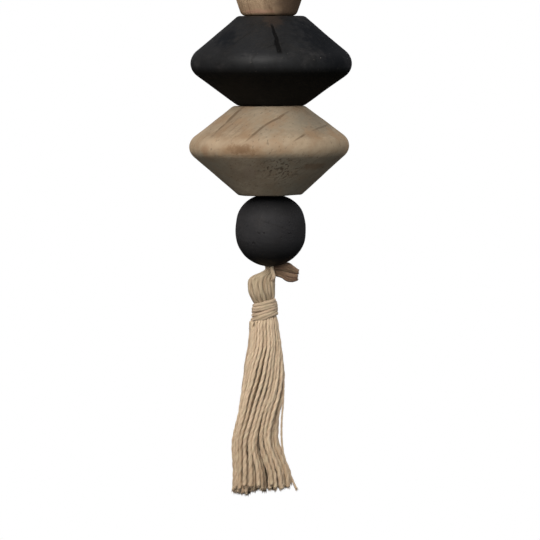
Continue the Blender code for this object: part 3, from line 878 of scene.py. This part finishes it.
def sideways(line):
    # directions along the path, and two across it that turn no more than they must
    ahead = np.gradient(line, axis=0)
    ahead /= np.linalg.norm(ahead, axis=1)[:, None]
    first = np.cross(ahead[0], (0.0, 1.0, 0.0))
    if np.linalg.norm(first) < 0.2:
        first = np.cross(ahead[0], (1.0, 0.0, 0.0))
    across = np.empty_like(line)
    current = first
    for i, direction in enumerate(ahead):
        current = current - direction * np.dot(current, direction)
        current = current / np.linalg.norm(current)
        across[i] = current
    return ahead, across, np.cross(ahead, across)


def newBundle():
    return {"points": [], "faces": [], "fibre": [], "tint": [], "groove": [], "count": 0}


def plySection(plies, sides, fullness):
    # the outline of plies laid together: how far out each point is, and how deep in a groove
    angles = np.arange(sides) * 2 * math.pi / sides
    inLobe = (angles * plies / 2 / math.pi + 0.5) % 1.0 - 0.5
    offAxis = np.abs(inLobe) * 2
    out = 1 - (1 - fullness) * offAxis ** 1.6
    return angles, out, offAxis ** 2


def addTwine(bundle, path, radius, draw, spacing=0.00045, sides=12, plies=2, turnLength=0.008, fullness=0.84,
             taper=None, tipShade=0.0, middle=None):
    line = evenPath(path, spacing)
    ahead, across, other = sideways(line)
    count = len(line)
    share = np.linspace(0, 1, count)
    radii = np.full(count, radius)
    if taper:
        radii = radius * np.interp(share, [t[0] for t in taper], [t[1] for t in taper])
    lumps = draw.uniform(0, 6.28)
    radii = radii * (1 + 0.03 * np.sin(share * count * spacing / 0.0045 * 6.28 + lumps))
    angles, out, groove = plySection(plies, sides, fullness)
    length = share * (count - 1) * spacing
    twist = length / turnLength * 2 * math.pi + draw.uniform(0, 6.28)
    turned = angles[None, :] + twist[:, None]
    reach = radii[:, None] * out[None, :]
    points = line[:, None, :] + reach[:, :, None] * (
        np.cos(turned)[:, :, None] * across[:, None, :] + np.sin(turned)[:, :, None] * other[:, None, :]
    )
    start = bundle["count"]
    bundle["points"].append(points.reshape(-1, 3))
    offset = draw.uniform(0, 40)
    fibre = np.empty((count, sides, 3))
    fibre[:, :, 0] = np.cos(angles)[None, :]
    fibre[:, :, 1] = np.sin(angles)[None, :]
    fibre[:, :, 2] = (length / 0.006)[:, None] + offset
    bundle["fibre"].append(fibre.reshape(-1, 3))
    bundle["tint"].append(np.full(count * sides, draw.uniform(0, 1)))
    nearTip = np.clip(1 - (length[-1] - length) / 0.0012, 0, 1)
    shade = groove[None, :] + tipShade * nearTip[:, None]
    if middle:
        # painted shade: in a bundle it is darker where it faces its neighbours, not straight out from the middle, and
        # darker down the lower half of its length
        outward = np.array([(x - middle(z), y, 0) for x, y, z in line])
        outward /= np.linalg.norm(outward, axis=1)[:, None] + 1e-6
        facing = np.cos(turned) * (across * outward).sum(1)[:, None] + np.sin(turned) * (other * outward).sum(1)[:, None]
        shade = shade + np.clip((0.5 - facing) * 0.9, 0, 0.7) + 1.5 * np.clip(share * 2 - 1, 0, 0.8)[:, None]
    bundle["groove"].append(shade.ravel())
    for i in range(count - 1):
        low = start + i * sides
        for k in range(sides):
            after = (k + 1) % sides
            bundle["faces"].append((low + k, low + after, low + sides + after, low + sides + k))
    bundle["faces"].append(tuple(range(start + sides - 1, start - 1, -1)))
    last = start + (count - 1) * sides
    bundle["faces"].append(tuple(range(last, last + sides)))
    bundle["count"] += count * sides
    return line, ahead, across, other


def addHair(bundle, place, direction, bend, length, thickness, draw):
    # one loose fibre: a thin three-sided spike that curves over
    direction = direction / np.linalg.norm(direction)
    side = np.cross(direction, bend)
    size = np.linalg.norm(side)
    side = side / size if size > 1e-6 else np.cross(direction, (0.3, 0.5, 0.8))
    other = np.cross(direction, side)
    start = bundle["count"]
    points = []
    for share, width in ((0.0, 1.0), (0.35, 0.9), (0.7, 0.65)):
        centre = place + direction * length * share + bend * length * share * share
        for k in range(3):
            angle = k * 2.0944
            points.append(centre + thickness / 2 * width * (math.cos(angle) * side + math.sin(angle) * other))
    points.append(place + direction * length + bend * length)
    bundle["points"].append(np.array(points))
    for low in (start, start + 3):
        for k in range(3):
            after = (k + 1) % 3
            bundle["faces"].append((low + k, low + after, low + 3 + after, low + 3 + k))
    for k in range(3):
        bundle["faces"].append((start + 6 + k, start + 6 + (k + 1) % 3, start + 9))
    bundle["faces"].append((start + 2, start + 1, start))
    offset = draw.uniform(0, 40)
    bundle["fibre"].append(np.array([(0.5, 0.5, offset + k * 0.1) for k in range(10)]))
    bundle["tint"].append(np.full(10, draw.uniform(0, 0.8)))
    bundle["groove"].append(np.zeros(10))
    bundle["count"] += 10


def randomSide(draw):
    return np.array([draw.uniform(-1, 1), draw.uniform(-1, 1), draw.uniform(-1, 1)])


def addFuzz(bundle, line, ahead, across, other, radius, perMetre, draw, longest=0.0022):
    # stray fibres along a twine
    total = len(line) * np.linalg.norm(line[1] - line[0])
    for _ in range(int(total * perMetre)):
        i = draw.randrange(1, len(line) - 1)
        angle = draw.uniform(0, 6.28)
        outward = math.cos(angle) * across[i] + math.sin(angle) * other[i]
        lean = ahead[i] * draw.choice((-1.0, 1.0)) * draw.uniform(0.6, 2.4)
        place = line[i] + outward * radius * 0.7
        length = draw.uniform(0.4, 1.0) ** 1.5 * longest
        addHair(bundle, place, outward + lean, randomSide(draw) * 0.35, length, draw.uniform(0.035, 0.06) * mm, draw)


def addFrayedEnd(bundle, line, ahead, across, other, radius, count, draw, longest=0.0016):
    # the cut end opens into its fibres
    for _ in range(count):
        angle = draw.uniform(0, 6.28)
        out = math.sqrt(draw.uniform(0, 1)) * 0.82
        outward = math.cos(angle) * across[-1] + math.sin(angle) * other[-1]
        place = line[-1] + outward * radius * out - ahead[-1] * 0.0005
        direction = ahead[-1] + outward * out * draw.uniform(0.0, 0.45)
        length = 0.0005 + longest * draw.uniform(0.25, 1.0)
        addHair(bundle, place, direction, randomSide(draw) * 0.15, length, draw.uniform(0.10, 0.2) * mm, draw)


def bundleObject(name, bundle):
    mesh = bpy.data.meshes.new(name)
    points = np.concatenate(bundle["points"])
    mesh.from_pydata(points.tolist(), [], bundle["faces"])
    for key, kind in (("fibre", "FLOAT_VECTOR"), ("tint", "FLOAT"), ("groove", "FLOAT")):
        layer = mesh.attributes.new(key, kind, "POINT")
        values = np.concatenate(bundle[key]).astype(np.float32)
        layer.data.foreach_set("vector" if kind == "FLOAT_VECTOR" else "value", values.ravel())
    mesh.validate()
    piece = bpy.data.objects.new(name, mesh)
    bpy.context.scene.collection.objects.link(piece)
    makeActive(piece)
    bpy.ops.object.shade_smooth()
    return piece


def underBead(across, back, drop):
    return Vector((across * mm, back * mm, beadBottom - drop * mm))


def atDrop(table, drop):
    # a table of sections read at this drop, smoothly between its rows
    drop = min(max(drop, table[0][0]), table[-1][0])
    i = 0
    while drop > table[i + 1][0] and i < len(table) - 2:
        i += 1
    rows = [table[max(i - 1, 0)], table[i], table[i + 1], table[min(i + 2, len(table) - 1)]]
    span = rows[2][0] - rows[1][0]
    t = (drop - rows[1][0]) / span
    columns = []
    for column in range(1, len(table[0])):
        a, b = rows[1][column], rows[2][column]
        slopeA = (b - rows[0][column]) / (rows[2][0] - rows[0][0]) * span
        slopeB = (rows[3][column] - a) / (rows[3][0] - rows[1][0]) * span
        curve = (2 * t**3 - 3 * t**2 + 1) * a + (3 * t**2 - 2 * t**3) * b
        columns.append(curve + (t**3 - 2 * t**2 + t) * slopeA + (t**3 - t**2) * slopeB)
    return columns


# Skirt, the hanging strands. Rows are in millimetres under the round bead.

skirt = {
    "twineRadius": 0.62,
    "rings": (
        # strands, how far out, angle of the first
        (26, 1.00, 8),
        (24, 0.87, 15),
        (14, 0.52, 40),
    ),
    "rows": (
        # drop, middle, half width, half depth, turn
        (15.5, -2.0, 3.2, 2.8, 0),
        (17.6, -2.0, 3.8, 3.3, 0),
        (19.2, -2.1, 4.7, 3.9, 0),
        (20.6, -2.25, 5.15, 4.3, 0),
        (22.6, -2.2, 5.3, 4.4, 0),
        (27.8, -1.95, 5.9, 4.9, -2),
        (33.1, -2.05, 6.7, 5.4, -9),
        (39.8, -2.35, 7.4, 5.8, -20),
        (46.6, -3.0, 7.8, 6.0, -30),
        (53.3, -4.3, 7.6, 6.0, -38),
        (60.4, -5.4, 8.1, 6.2, -42),
        (64.3, -5.4, 8.6, 6.4, -43),
        (69.3, -4.3, 9.4, 6.8, -44),
        (73.9, -3.3, 10.1, 7.2, -45),
        (79.6, -3.1, 10.6, 7.6, -46),
        (82.0, -3.0, 10.8, 7.7, -46),
    ),
    "longest": 81.2,
    "shortest": 79.0,
    # the strand that hangs by itself at the right: across, back, drop
    "stray": ((4.45, -1.2, 38.5), (4.6, -1.3, 43.0), (4.45, -1.3, 49.0), (4.0, -1.2, 54.5), (3.9, -1.1, 60.5),
              (4.35, -0.9, 66.0), (5.5, -0.7, 70.5), (7.3, -0.6, 75.5), (9.1, -0.6, 79.6)),
    "bindingEndPlace": 13,  # this outer place is taken by the binding's own end
    "hole": ((0, 15), (1, 13), (1, 14)),  # ring and place of strands that lie deep beside it, under the binding
    "parting": (-45, 14),  # the front strands part here lower down: angle, and how far they turn away
    # a lock of front strands lies over the rest: first and last angle, and how far it stands out
    "lock": (-112, -62, 0.45),
    "behindLock": (-58, -20, -0.55),
}


def strandPath(angle, reach, end, draw, sag=0.0, tuck=0.0):
    start = skirt["rows"][0][0]
    wander = draw.uniform(1.0, 3.0)
    phase = draw.uniform(0, 6.28)
    kinkX, kinkY = draw.uniform(0.05, 0.16), draw.uniform(0.06, 0.18)
    waveX, waveY = draw.uniform(7, 15), draw.uniform(7, 15)
    angle += draw.uniform(-2.2, 2.2)
    drift = draw.uniform(-0.35, 0.35)
    centreLine, turnAway = skirt["parting"]
    fromParting = (angle + 180) % 360 - 180 - centreLine
    turnAway *= math.tanh(fromParting / 20) * math.exp(-abs(fromParting) / 60)
    path = []
    steps = 56
    for k in range(steps + 1):
        share = k / steps
        drop = start + (end - start) * share
        middle, half, depth, turn = atDrop(skirt["rows"], drop)
        free = min(1.0, max(0.0, (drop - 21.0) / 14))
        lifted = 0.0
        for low, high, lift in (skirt["lock"], skirt["behindLock"]):
            if low <= (angle + 180) % 360 - 180 <= high and reach > 0.9:
                lifted = lift * math.sin(math.pi * min(1.0, max(0.0, (drop - 26) / 40)))
        parted = turnAway * min(1.0, max(0.0, (drop - 58) / 16))
        around = math.radians(angle + turn + parted + wander * free * math.sin(3 * share * math.pi + phase))
        margin = skirt["twineRadius"] * (0.62 + 0.38 * min(1.0, max(0.0, (drop - 17.5) / 3)))
        stand = lifted - sag * free + drift * free * math.sin(math.pi * share * 1.6)
        stand -= tuck * math.exp(-((drop - 20.2) / 1.5) ** 2)
        across = middle + ((half - margin) * reach + stand) * math.cos(around)
        back = ((depth - margin) * reach + stand) * math.sin(around)
        across += kinkX * free * math.sin(drop / waveX * 6.28 + phase)
        back += kinkY * free * math.sin(drop / waveY * 6.28 + phase * 2)
        path.append(underBead(across, back, drop))
    return path


def strayPath(draw):
    # hangs with the others at first, then by itself
    stray = [underBead(*point) for point in skirt["stray"]]
    inside = [p for p in strandPath(skirt["rings"][0][2] - 8, 1.0, 60.0, draw) if p.z > stray[0].z + 4 * mm]
    return inside + smoothPath([inside[-1]] + stray, 6)[1:]


def skirtMiddle(z):
    return atDrop(skirt["rows"], (beadBottom - z) / mm)[0] * mm


def makeSkirt():
    draw = random.Random(11)
    outer = newBundle()
    inner = newBundle()
    fuzz = newBundle()
    radius = skirt["twineRadius"] * mm
    # thin where it is bound, and opening out as it hangs
    taper = ((0, 0.62), (0.03, 0.75), (0.08, 1.0), (0.5, 1.08), (0.8, 1.28), (1, 1.48))
    for ring, (count, reach, first) in enumerate(skirt["rings"]):
        for k in range(count):
            angle = first + 360 * k / count
            toRight = 0.5 + 0.5 * math.cos(math.radians(angle + skirt["rows"][-1][4]))
            end = skirt["longest"] - (skirt["longest"] - skirt["shortest"]) * toRight + draw.uniform(-1.2, 0.25)
            if ring > 0:
                end += 0.25
            elif -125 < (angle + 180) % 360 - 180 < -20:
                end -= 1.5  # cut shorter in front
            if ring == 0 and k == skirt["bindingEndPlace"]:
                continue
            alone = ring == 0 and k == 0
            tuck = 2.0 if (ring, k) in skirt["hole"] else 0.0
            sag = draw.uniform(0.0, 0.25)
            path = strayPath(draw) if alone else strandPath(angle, reach, end, draw, sag, tuck)
            bundle = outer if ring == 0 else inner
            thick = radius * (0.52 if alone else draw.uniform(0.92, 1.12))
            line, ahead, across, other = addTwine(
                bundle, path, thick, draw, spacing=0.00045 if ring == 0 else 0.0007, sides=14 if ring == 0 else 9,
                turnLength=draw.uniform(5.5, 7.0) * mm, fullness=0.80, taper=taper, tipShade=0.4,
                middle=None if alone else skirtMiddle,
            )
            addFrayedEnd(fuzz, line, ahead, across, other, thick * 1.3, 34, draw, 0.0011)
            if ring == 0:
                addFuzz(fuzz, line[20:], ahead[20:], across[20:], other[20:], thick, 900, draw, 0.0018)
    return bundleObject("skirt_outer_strands", outer), bundleObject("skirt_inner_strands", inner), fuzz


skirtOuter, skirtInner, skirtFuzz = makeSkirt()
finishPiece(skirtOuter, skirtJute, "jute", "tassel_bundle")
finishPiece(skirtInner, skirtJute, "jute", "tassel_bundle")
print("skirt done", len(skirtOuter.data.polygons), "faces outside")


# Head, the strands folded over the cord and slumped to the left

head = {
    "twineRadius": 0.80,
    "strands": 17,
    "rows": (
        # drop, left, right, half depth, turn
        (0.05, -2.1, 1.0, 1.25, 0),
        (1.4, -1.95, 1.35, 1.35, 0),
        (2.2, -2.7, 1.5, 1.45, 1),
        (2.9, -4.0, 1.6, 1.6, 2),
        (3.5, -5.3, 1.7, 1.8, 3),
        (4.1, -6.6, 1.75, 2.1, 5),
        (4.8, -7.7, 1.75, 2.5, 6),
        (5.6, -8.2, 1.7, 2.8, 8),
        (6.7, -8.35, 1.65, 3.2, 9),
        (9.0, -8.2, 1.6, 3.6, 14),
        (10.0, -7.9, 1.6, 3.6, 16),
        (11.1, -7.45, 1.55, 3.4, 18),
        (12.2, -6.95, 1.45, 3.1, 21),
        (13.2, -6.3, 1.2, 2.9, 23),
        (14.4, -5.7, 1.1, 2.8, 24),
        (17.5, -5.6, 1.3, 2.9, 25),
    ),
}


def headPath(angle, inset, draw):
    phase = draw.uniform(0, 6.28)
    wander = draw.uniform(2.0, 5.0)
    rows = head["rows"]
    path = []
    for k in range(61):
        drop = rows[0][0] + (rows[-1][0] - rows[0][0]) * (k / 60) ** 1.2
        left, right, depth, turn = atDrop(rows, drop)
        middle, half = (left + right) / 2, (right - left) / 2
        around = math.radians(angle + turn + wander * math.sin(k / 60 * 5 + phase))
        margin = inset * min(1.0, 0.5 + drop / 8)
        across = middle + max(0.1, half - margin) * math.cos(around)
        path.append(underBead(across, max(0.1, depth - margin) * math.sin(around), drop))
    return path


def headMiddle(z):
    left, right = atDrop(head["rows"], (beadBottom - z) / mm)[:2]
    return (left + right) / 2 * mm


def makeHead():
    draw = random.Random(5)
    bundle = newBundle()
    radius = head["twineRadius"] * mm
    taper = ((0, 0.62), (0.12, 0.72), (0.3, 1.0), (0.65, 1.0), (0.8, 0.75), (1, 0.7))
    fuzz = newBundle()
    for k in range(head["strands"]):
        angle = 10 + 360 * k / head["strands"] + draw.uniform(-4, 4)
        path = headPath(angle, head["twineRadius"] * draw.uniform(0.85, 1.15), draw)
        line, ahead, across, other = addTwine(
            bundle, path, radius * draw.uniform(0.78, 1.12), draw, spacing=0.0003, sides=15,
            turnLength=draw.uniform(9, 14) * mm, fullness=0.84, taper=taper, middle=headMiddle,
        )
        addFuzz(fuzz, line[6:40], ahead[6:40], across[6:40], other[6:40], radius, 1300, draw, 0.0014)
    # a second layer inside fills the gaps between the outer strands
    for k in range(14):
        path = headPath(360 * k / 14, 1.7, draw)
        addTwine(bundle, path, radius * 1.15, draw, spacing=0.0005, sides=9, taper=taper)
    return bundleObject("tassel_head", bundle), fuzz


tasselHead, headFuzz = makeHead()
finishPiece(tasselHead, shadedHeadJute, "jute", "tassel_bundle")
print("head done")


# Binding, five turns of twine round the neck, whose end hangs down with the skirt

binding = {
    "twineRadius": 0.76,
    "turns": 5.64,  # from the back at the right to the left edge
    "firstAngle": 60,
    "top": 12.8,
    "bottom": 18.9,
    "slant": 1.5,
    "outFromNeck": 0.10,
    # the end drops from the last turn, down the left edge: across, back, drop
    "turnDown": ((-6.85, -0.7, 20.0), (-6.95, -1.0, 21.2)),
    "endDrop": 79.6,
}


def bindingPath(draw):
    path = []
    steps = 240
    bunching = [draw.uniform(-0.30, 0.30) for _ in range(26)]
    for k in range(steps + 1):
        share = k / steps
        turned = binding["turns"] * share
        angle = math.radians(binding["firstAngle"] - turned * 360)
        quarter = turned * 4
        whole = int(quarter)
        bunch = bunching[whole] + (bunching[whole + 1] - bunching[whole]) * (quarter - whole)
        drop = binding["top"] + (binding["bottom"] - binding["top"]) * share + bunch
        drop -= (binding["slant"] + 2.0 * share**3) / 2 * math.cos(angle)  # the lowest turns slant more
        # the neck that it is wound on, a little wider lower down
        middle = -2.15 + 0.10 * share
        half, depth = 3.5 + 0.95 * share - 0.5 * share**3, 3.0 + 0.40 * share
        tuck = min(1.0, share * 20)
        out = binding["outFromNeck"] + 0.9 * (tuck - 1) + bunch * 0.5
        path.append(underBead(middle + (half + out) * math.cos(angle), (depth + out) * math.sin(angle), drop))
    return path


def makeBinding():
    draw = random.Random(21)
    bundle = newBundle()
    wound = bindingPath(draw)
    radius = binding["twineRadius"] * mm
    # it leaves the last turn at the left and falls in with the strands
    count, reach, first = skirt["rings"][0]
    hanging = strandPath(first + 360 * skirt["bindingEndPlace"] / count, 1.02, binding["endDrop"], draw)
    hanging = [p for p in hanging if p.z < beadBottom - 22.8 * mm]
    corner = smoothPath([wound[-2], wound[-1]] + [underBead(*p) for p in binding["turnDown"]] + hanging[:2], 6)
    path = wound[:-2] + corner[:-1] + hanging[1:]
    # pressed thicker and thinner as it goes round, then plain where it hangs
    taper = [(k / 34, draw.uniform(0.88, 1.12)) for k in range(22)] + [(0.68, 0.90), (0.9, 1.05), (1, 1.1)]
    line, ahead, across, other = addTwine(
        bundle, path, radius, draw, spacing=0.0003, sides=15, turnLength=0.011, fullness=0.92,
        taper=taper, tipShade=0.9,
    )
    fuzz = newBundle()
    addFuzz(fuzz, line, ahead, across, other, radius, 1000, draw, 0.0013)
    addFrayedEnd(fuzz, line, ahead, across, other, radius * 1.3, 30, draw, 0.0011)
    return bundleObject("binding_turns", bundle), fuzz


bindingTurns, bindingFuzz = makeBinding()
finishPiece(bindingTurns, bindingJute, "jute", "binding_twine")
print("binding done")


# Cord: the hanging loop, its knot, the two strands through the beads, the ring and the tied ends

cord = {
    "twineRadius": 0.0008,
    "pulledRadius": 0.00072,
    "loopSide": (
        # across, up
        (0.0, 0.0),
        (2.6, -0.7),
        (4.9, -3.2),
        (5.9, -7.6),
        (5.2, -13.0),
        (3.7, -18.5),
        (2.2, -24.0),
        (1.2, -28.8),
        (1.05, -32.2),
    ),
    "ring": (
        # across, back, drop
        (0.1, -0.74, -20.0),
        (0.2, -0.74, -4.2),
        (0.15, -0.80, -2.0),
        (0.15, -1.10, -0.6),
        (0.30, -1.7, 0.6),
        (0.65, -2.3, 1.9),
        (1.00, -2.65, 3.0),
        (1.15, -2.75, 3.9),
        (0.95, -2.1, 4.7),
        (0.6, -1.1, 5.0),
        (0.2, 0.0, 5.0),
        (0.3, 1.6, 4.6),
        (0.4, 2.7, 3.8),
        (0.2, 2.6, 2.5),
        (-0.3, 2.0, 1.2),
        (-0.6, 1.2, 0.2),
        (-0.6, 0.8, -0.9),
        (-0.4, 0.74, -2.4),
        (-0.3, 0.74, -4.2),
        (-0.1, 0.74, -20.0),
    ),
    "bridge": ((0.2, 2.4, 2.0), (1.3, 2.7, 1.9), (2.2, 2.5, 2.0), (2.9, 1.9, 2.1), (3.2, 1.4, 2.3)),
    "knot": (3.2, 1.5, 2.3),
}
looseEnds = {
    # rows down each tied end: across, back, drop, half height, half depth
    "upper": (
        (0.6, 0.5, 0.75, 0.75, 0.75),
        (1.7, 0.2, 0.80, 1.00, 0.85),
        (3.3, -0.2, 0.72, 1.15, 1.05),
        (5.1, -0.4, 0.70, 1.50, 1.25),
        (6.3, -0.4, 0.75, 1.75, 1.35),
        (8.0, -0.4, 1.45, 1.35, 1.30),
        (9.2, -0.4, 2.05, 1.05, 1.10),
        (9.8, -0.4, 2.25, 0.85, 0.90),
    ),
    "lower": (
        (1.6, 0.3, 2.75, 1.15, 0.75),
        (4.1, -0.1, 3.20, 1.35, 1.05),
        (5.8, -0.3, 3.90, 1.75, 1.20),
        (7.6, -0.3, 4.25, 1.70, 1.25),
        (9.0, -0.3, 4.15, 1.45, 1.10),
        (9.5, -0.3, 4.05, 1.30, 1.00),
    ),
}


def knotPath(centre, width, height, turn):
    # an overhand knot pulled small
    path = []
    for k in range(61):
        t = 2 * math.pi * k / 60
        across = (math.sin(t) + 2 * math.sin(2 * t)) / 3 * width
        back = (math.cos(t) - 2 * math.cos(2 * t)) / 3 * width
        up = -math.sin(3 * t) * height
        leaning = Vector((across, back, up))
        leaning.rotate(Matrix.Rotation(-turn, 3, "Y"))
        path.append(centre + leaning)
    return path


def makeLoop(draw):
    bundle = newBundle()
    radius = cord["twineRadius"]
    side = [Vector((x * mm, 0, z * mm + radius)) for x, z in cord["loopSide"]]
    otherSide = [Vector((-p.x, 0, p.z)) for p in side[:0:-1]]
    path = smoothPath(otherSide + side, 6)
    fuzz = newBundle()
    line, ahead, across, other = addTwine(bundle, path, radius, draw, sides=15, turnLength=0.0072, fullness=0.74)
    addFuzz(fuzz, line, ahead, across, other, radius, 2200, draw)
    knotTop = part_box("bead_barrel_natural")[1].z
    centre = Vector((0, 0, knotTop + 2.5 * mm))
    path = knotPath(centre, 2.1 * mm, 1.0 * mm, 0.0)
    addTwine(bundle, path, radius, draw, spacing=0.0003, sides=15, turnLength=0.0072, fullness=0.74)
    low = beadBottom + 20 * mm  # inside the round bead, where the ring's cord takes over
    for back in (-0.74 * mm, 0.74 * mm):
        strand = [Vector((0, back, centre.z)), Vector((0, back, low))]
        addTwine(bundle, strand, radius, draw, spacing=0.001, sides=9)
    return bundleObject("hanging_loop_and_knot", bundle), fuzz


def makeRing(draw):
    bundle = newBundle()
    radius = cord["pulledRadius"]
    path = smoothPath([underBead(*point) for point in cord["ring"]], 8)
    addTwine(bundle, path, radius, draw, spacing=0.0004, sides=15, turnLength=0.0075)
    path = smoothPath([underBead(*point) for point in cord["bridge"]], 6)
    addTwine(bundle, path, radius * 0.95, draw, spacing=0.0003, sides=12)
    path = knotPath(underBead(*cord["knot"]), 1.15 * mm, 0.60 * mm, 0.7)
    addTwine(bundle, path, 0.00062, draw, spacing=0.00025, sides=12, turnLength=0.006)
    return bundleObject("tassel_ring_and_knot", bundle)


def makeEnds(draw):
    # each end is an opened cord: a flat sheaf of loose yarns, side by side
    bundle = newBundle()
    fuzz = newBundle()
    spots = [(0.0, 0.0)] + [(0.62, 72 * k + 20) for k in range(5)] + [(0.93, 36 * k) for k in range(10)]
    for rows in looseEnds.values():
        places = smoothPath([Vector(row) for row in ((r[0], r[1], r[2]) for r in rows)], 8)
        sizesDown = smoothPath([Vector((row[3], row[4], 0)) for row in rows], 8)
        for out, spotAngle in spots:
            path = []
            lean = draw.uniform(25, 60)
            for i, (place, size) in enumerate(zip(places, sizesDown)):
                share = i / (len(places) - 1)
                angle = math.radians(spotAngle + lean * share)
                across = place.x
                back = place.y + (size.y - 0.35) * out * math.cos(angle)
                drop = place.z - (size.x - 0.35) * out * math.sin(angle)
                path.append(underBead(across, back, drop))
            keep = len(path) - draw.randrange(0, 4)
            radius = draw.uniform(0.40, 0.50) * mm
            line, ahead, across, other = addTwine(
                bundle, path[:keep], radius, draw, spacing=0.0003, sides=10, turnLength=0.014, fullness=0.9,
                taper=((0, 0.8), (0.3, 1.0), (0.6, 1.15), (1, 1.0)), tipShade=0.15,
            )
            addFrayedEnd(fuzz, line, ahead, across, other, radius, 12, draw, 0.0004)
            addFuzz(fuzz, line, ahead, across, other, radius, 1500, draw, 0.0012)
    return bundleObject("frayed_ends", bundle), fuzz


cordDraw = random.Random(33)
loopPiece, loopFuzz = makeLoop(cordDraw)
finishPiece(loopPiece, bindingJute, "dark_jute", "hanging_cord")
ringPiece = makeRing(cordDraw)
finishPiece(ringPiece, bindingJute, "dark_jute", "hanging_cord")
endsPiece, endsFuzz = makeEnds(cordDraw)
finishPiece(endsPiece, shadedEndsJute, "dark_jute", "hanging_cord")
print("cord done")

for name, fuzz, finish, slotName, node in (
    ("skirt_fibres", skirtFuzz, skirtJute, "jute", "tassel_bundle"),
    ("head_fibres", headFuzz, shadedHeadJute, "jute", "tassel_bundle"),
    ("binding_fibres", bindingFuzz, bindingJute, "jute", "binding_twine"),
    ("loop_fibres", loopFuzz, bindingJute, "dark_jute", "hanging_cord"),
    ("frayed_end_fibres", endsFuzz, shadedEndsJute, "dark_jute", "hanging_cord"),
):
    finishPiece(bundleObject(name, fuzz), finish, slotName, node)
print("loose fibres done")
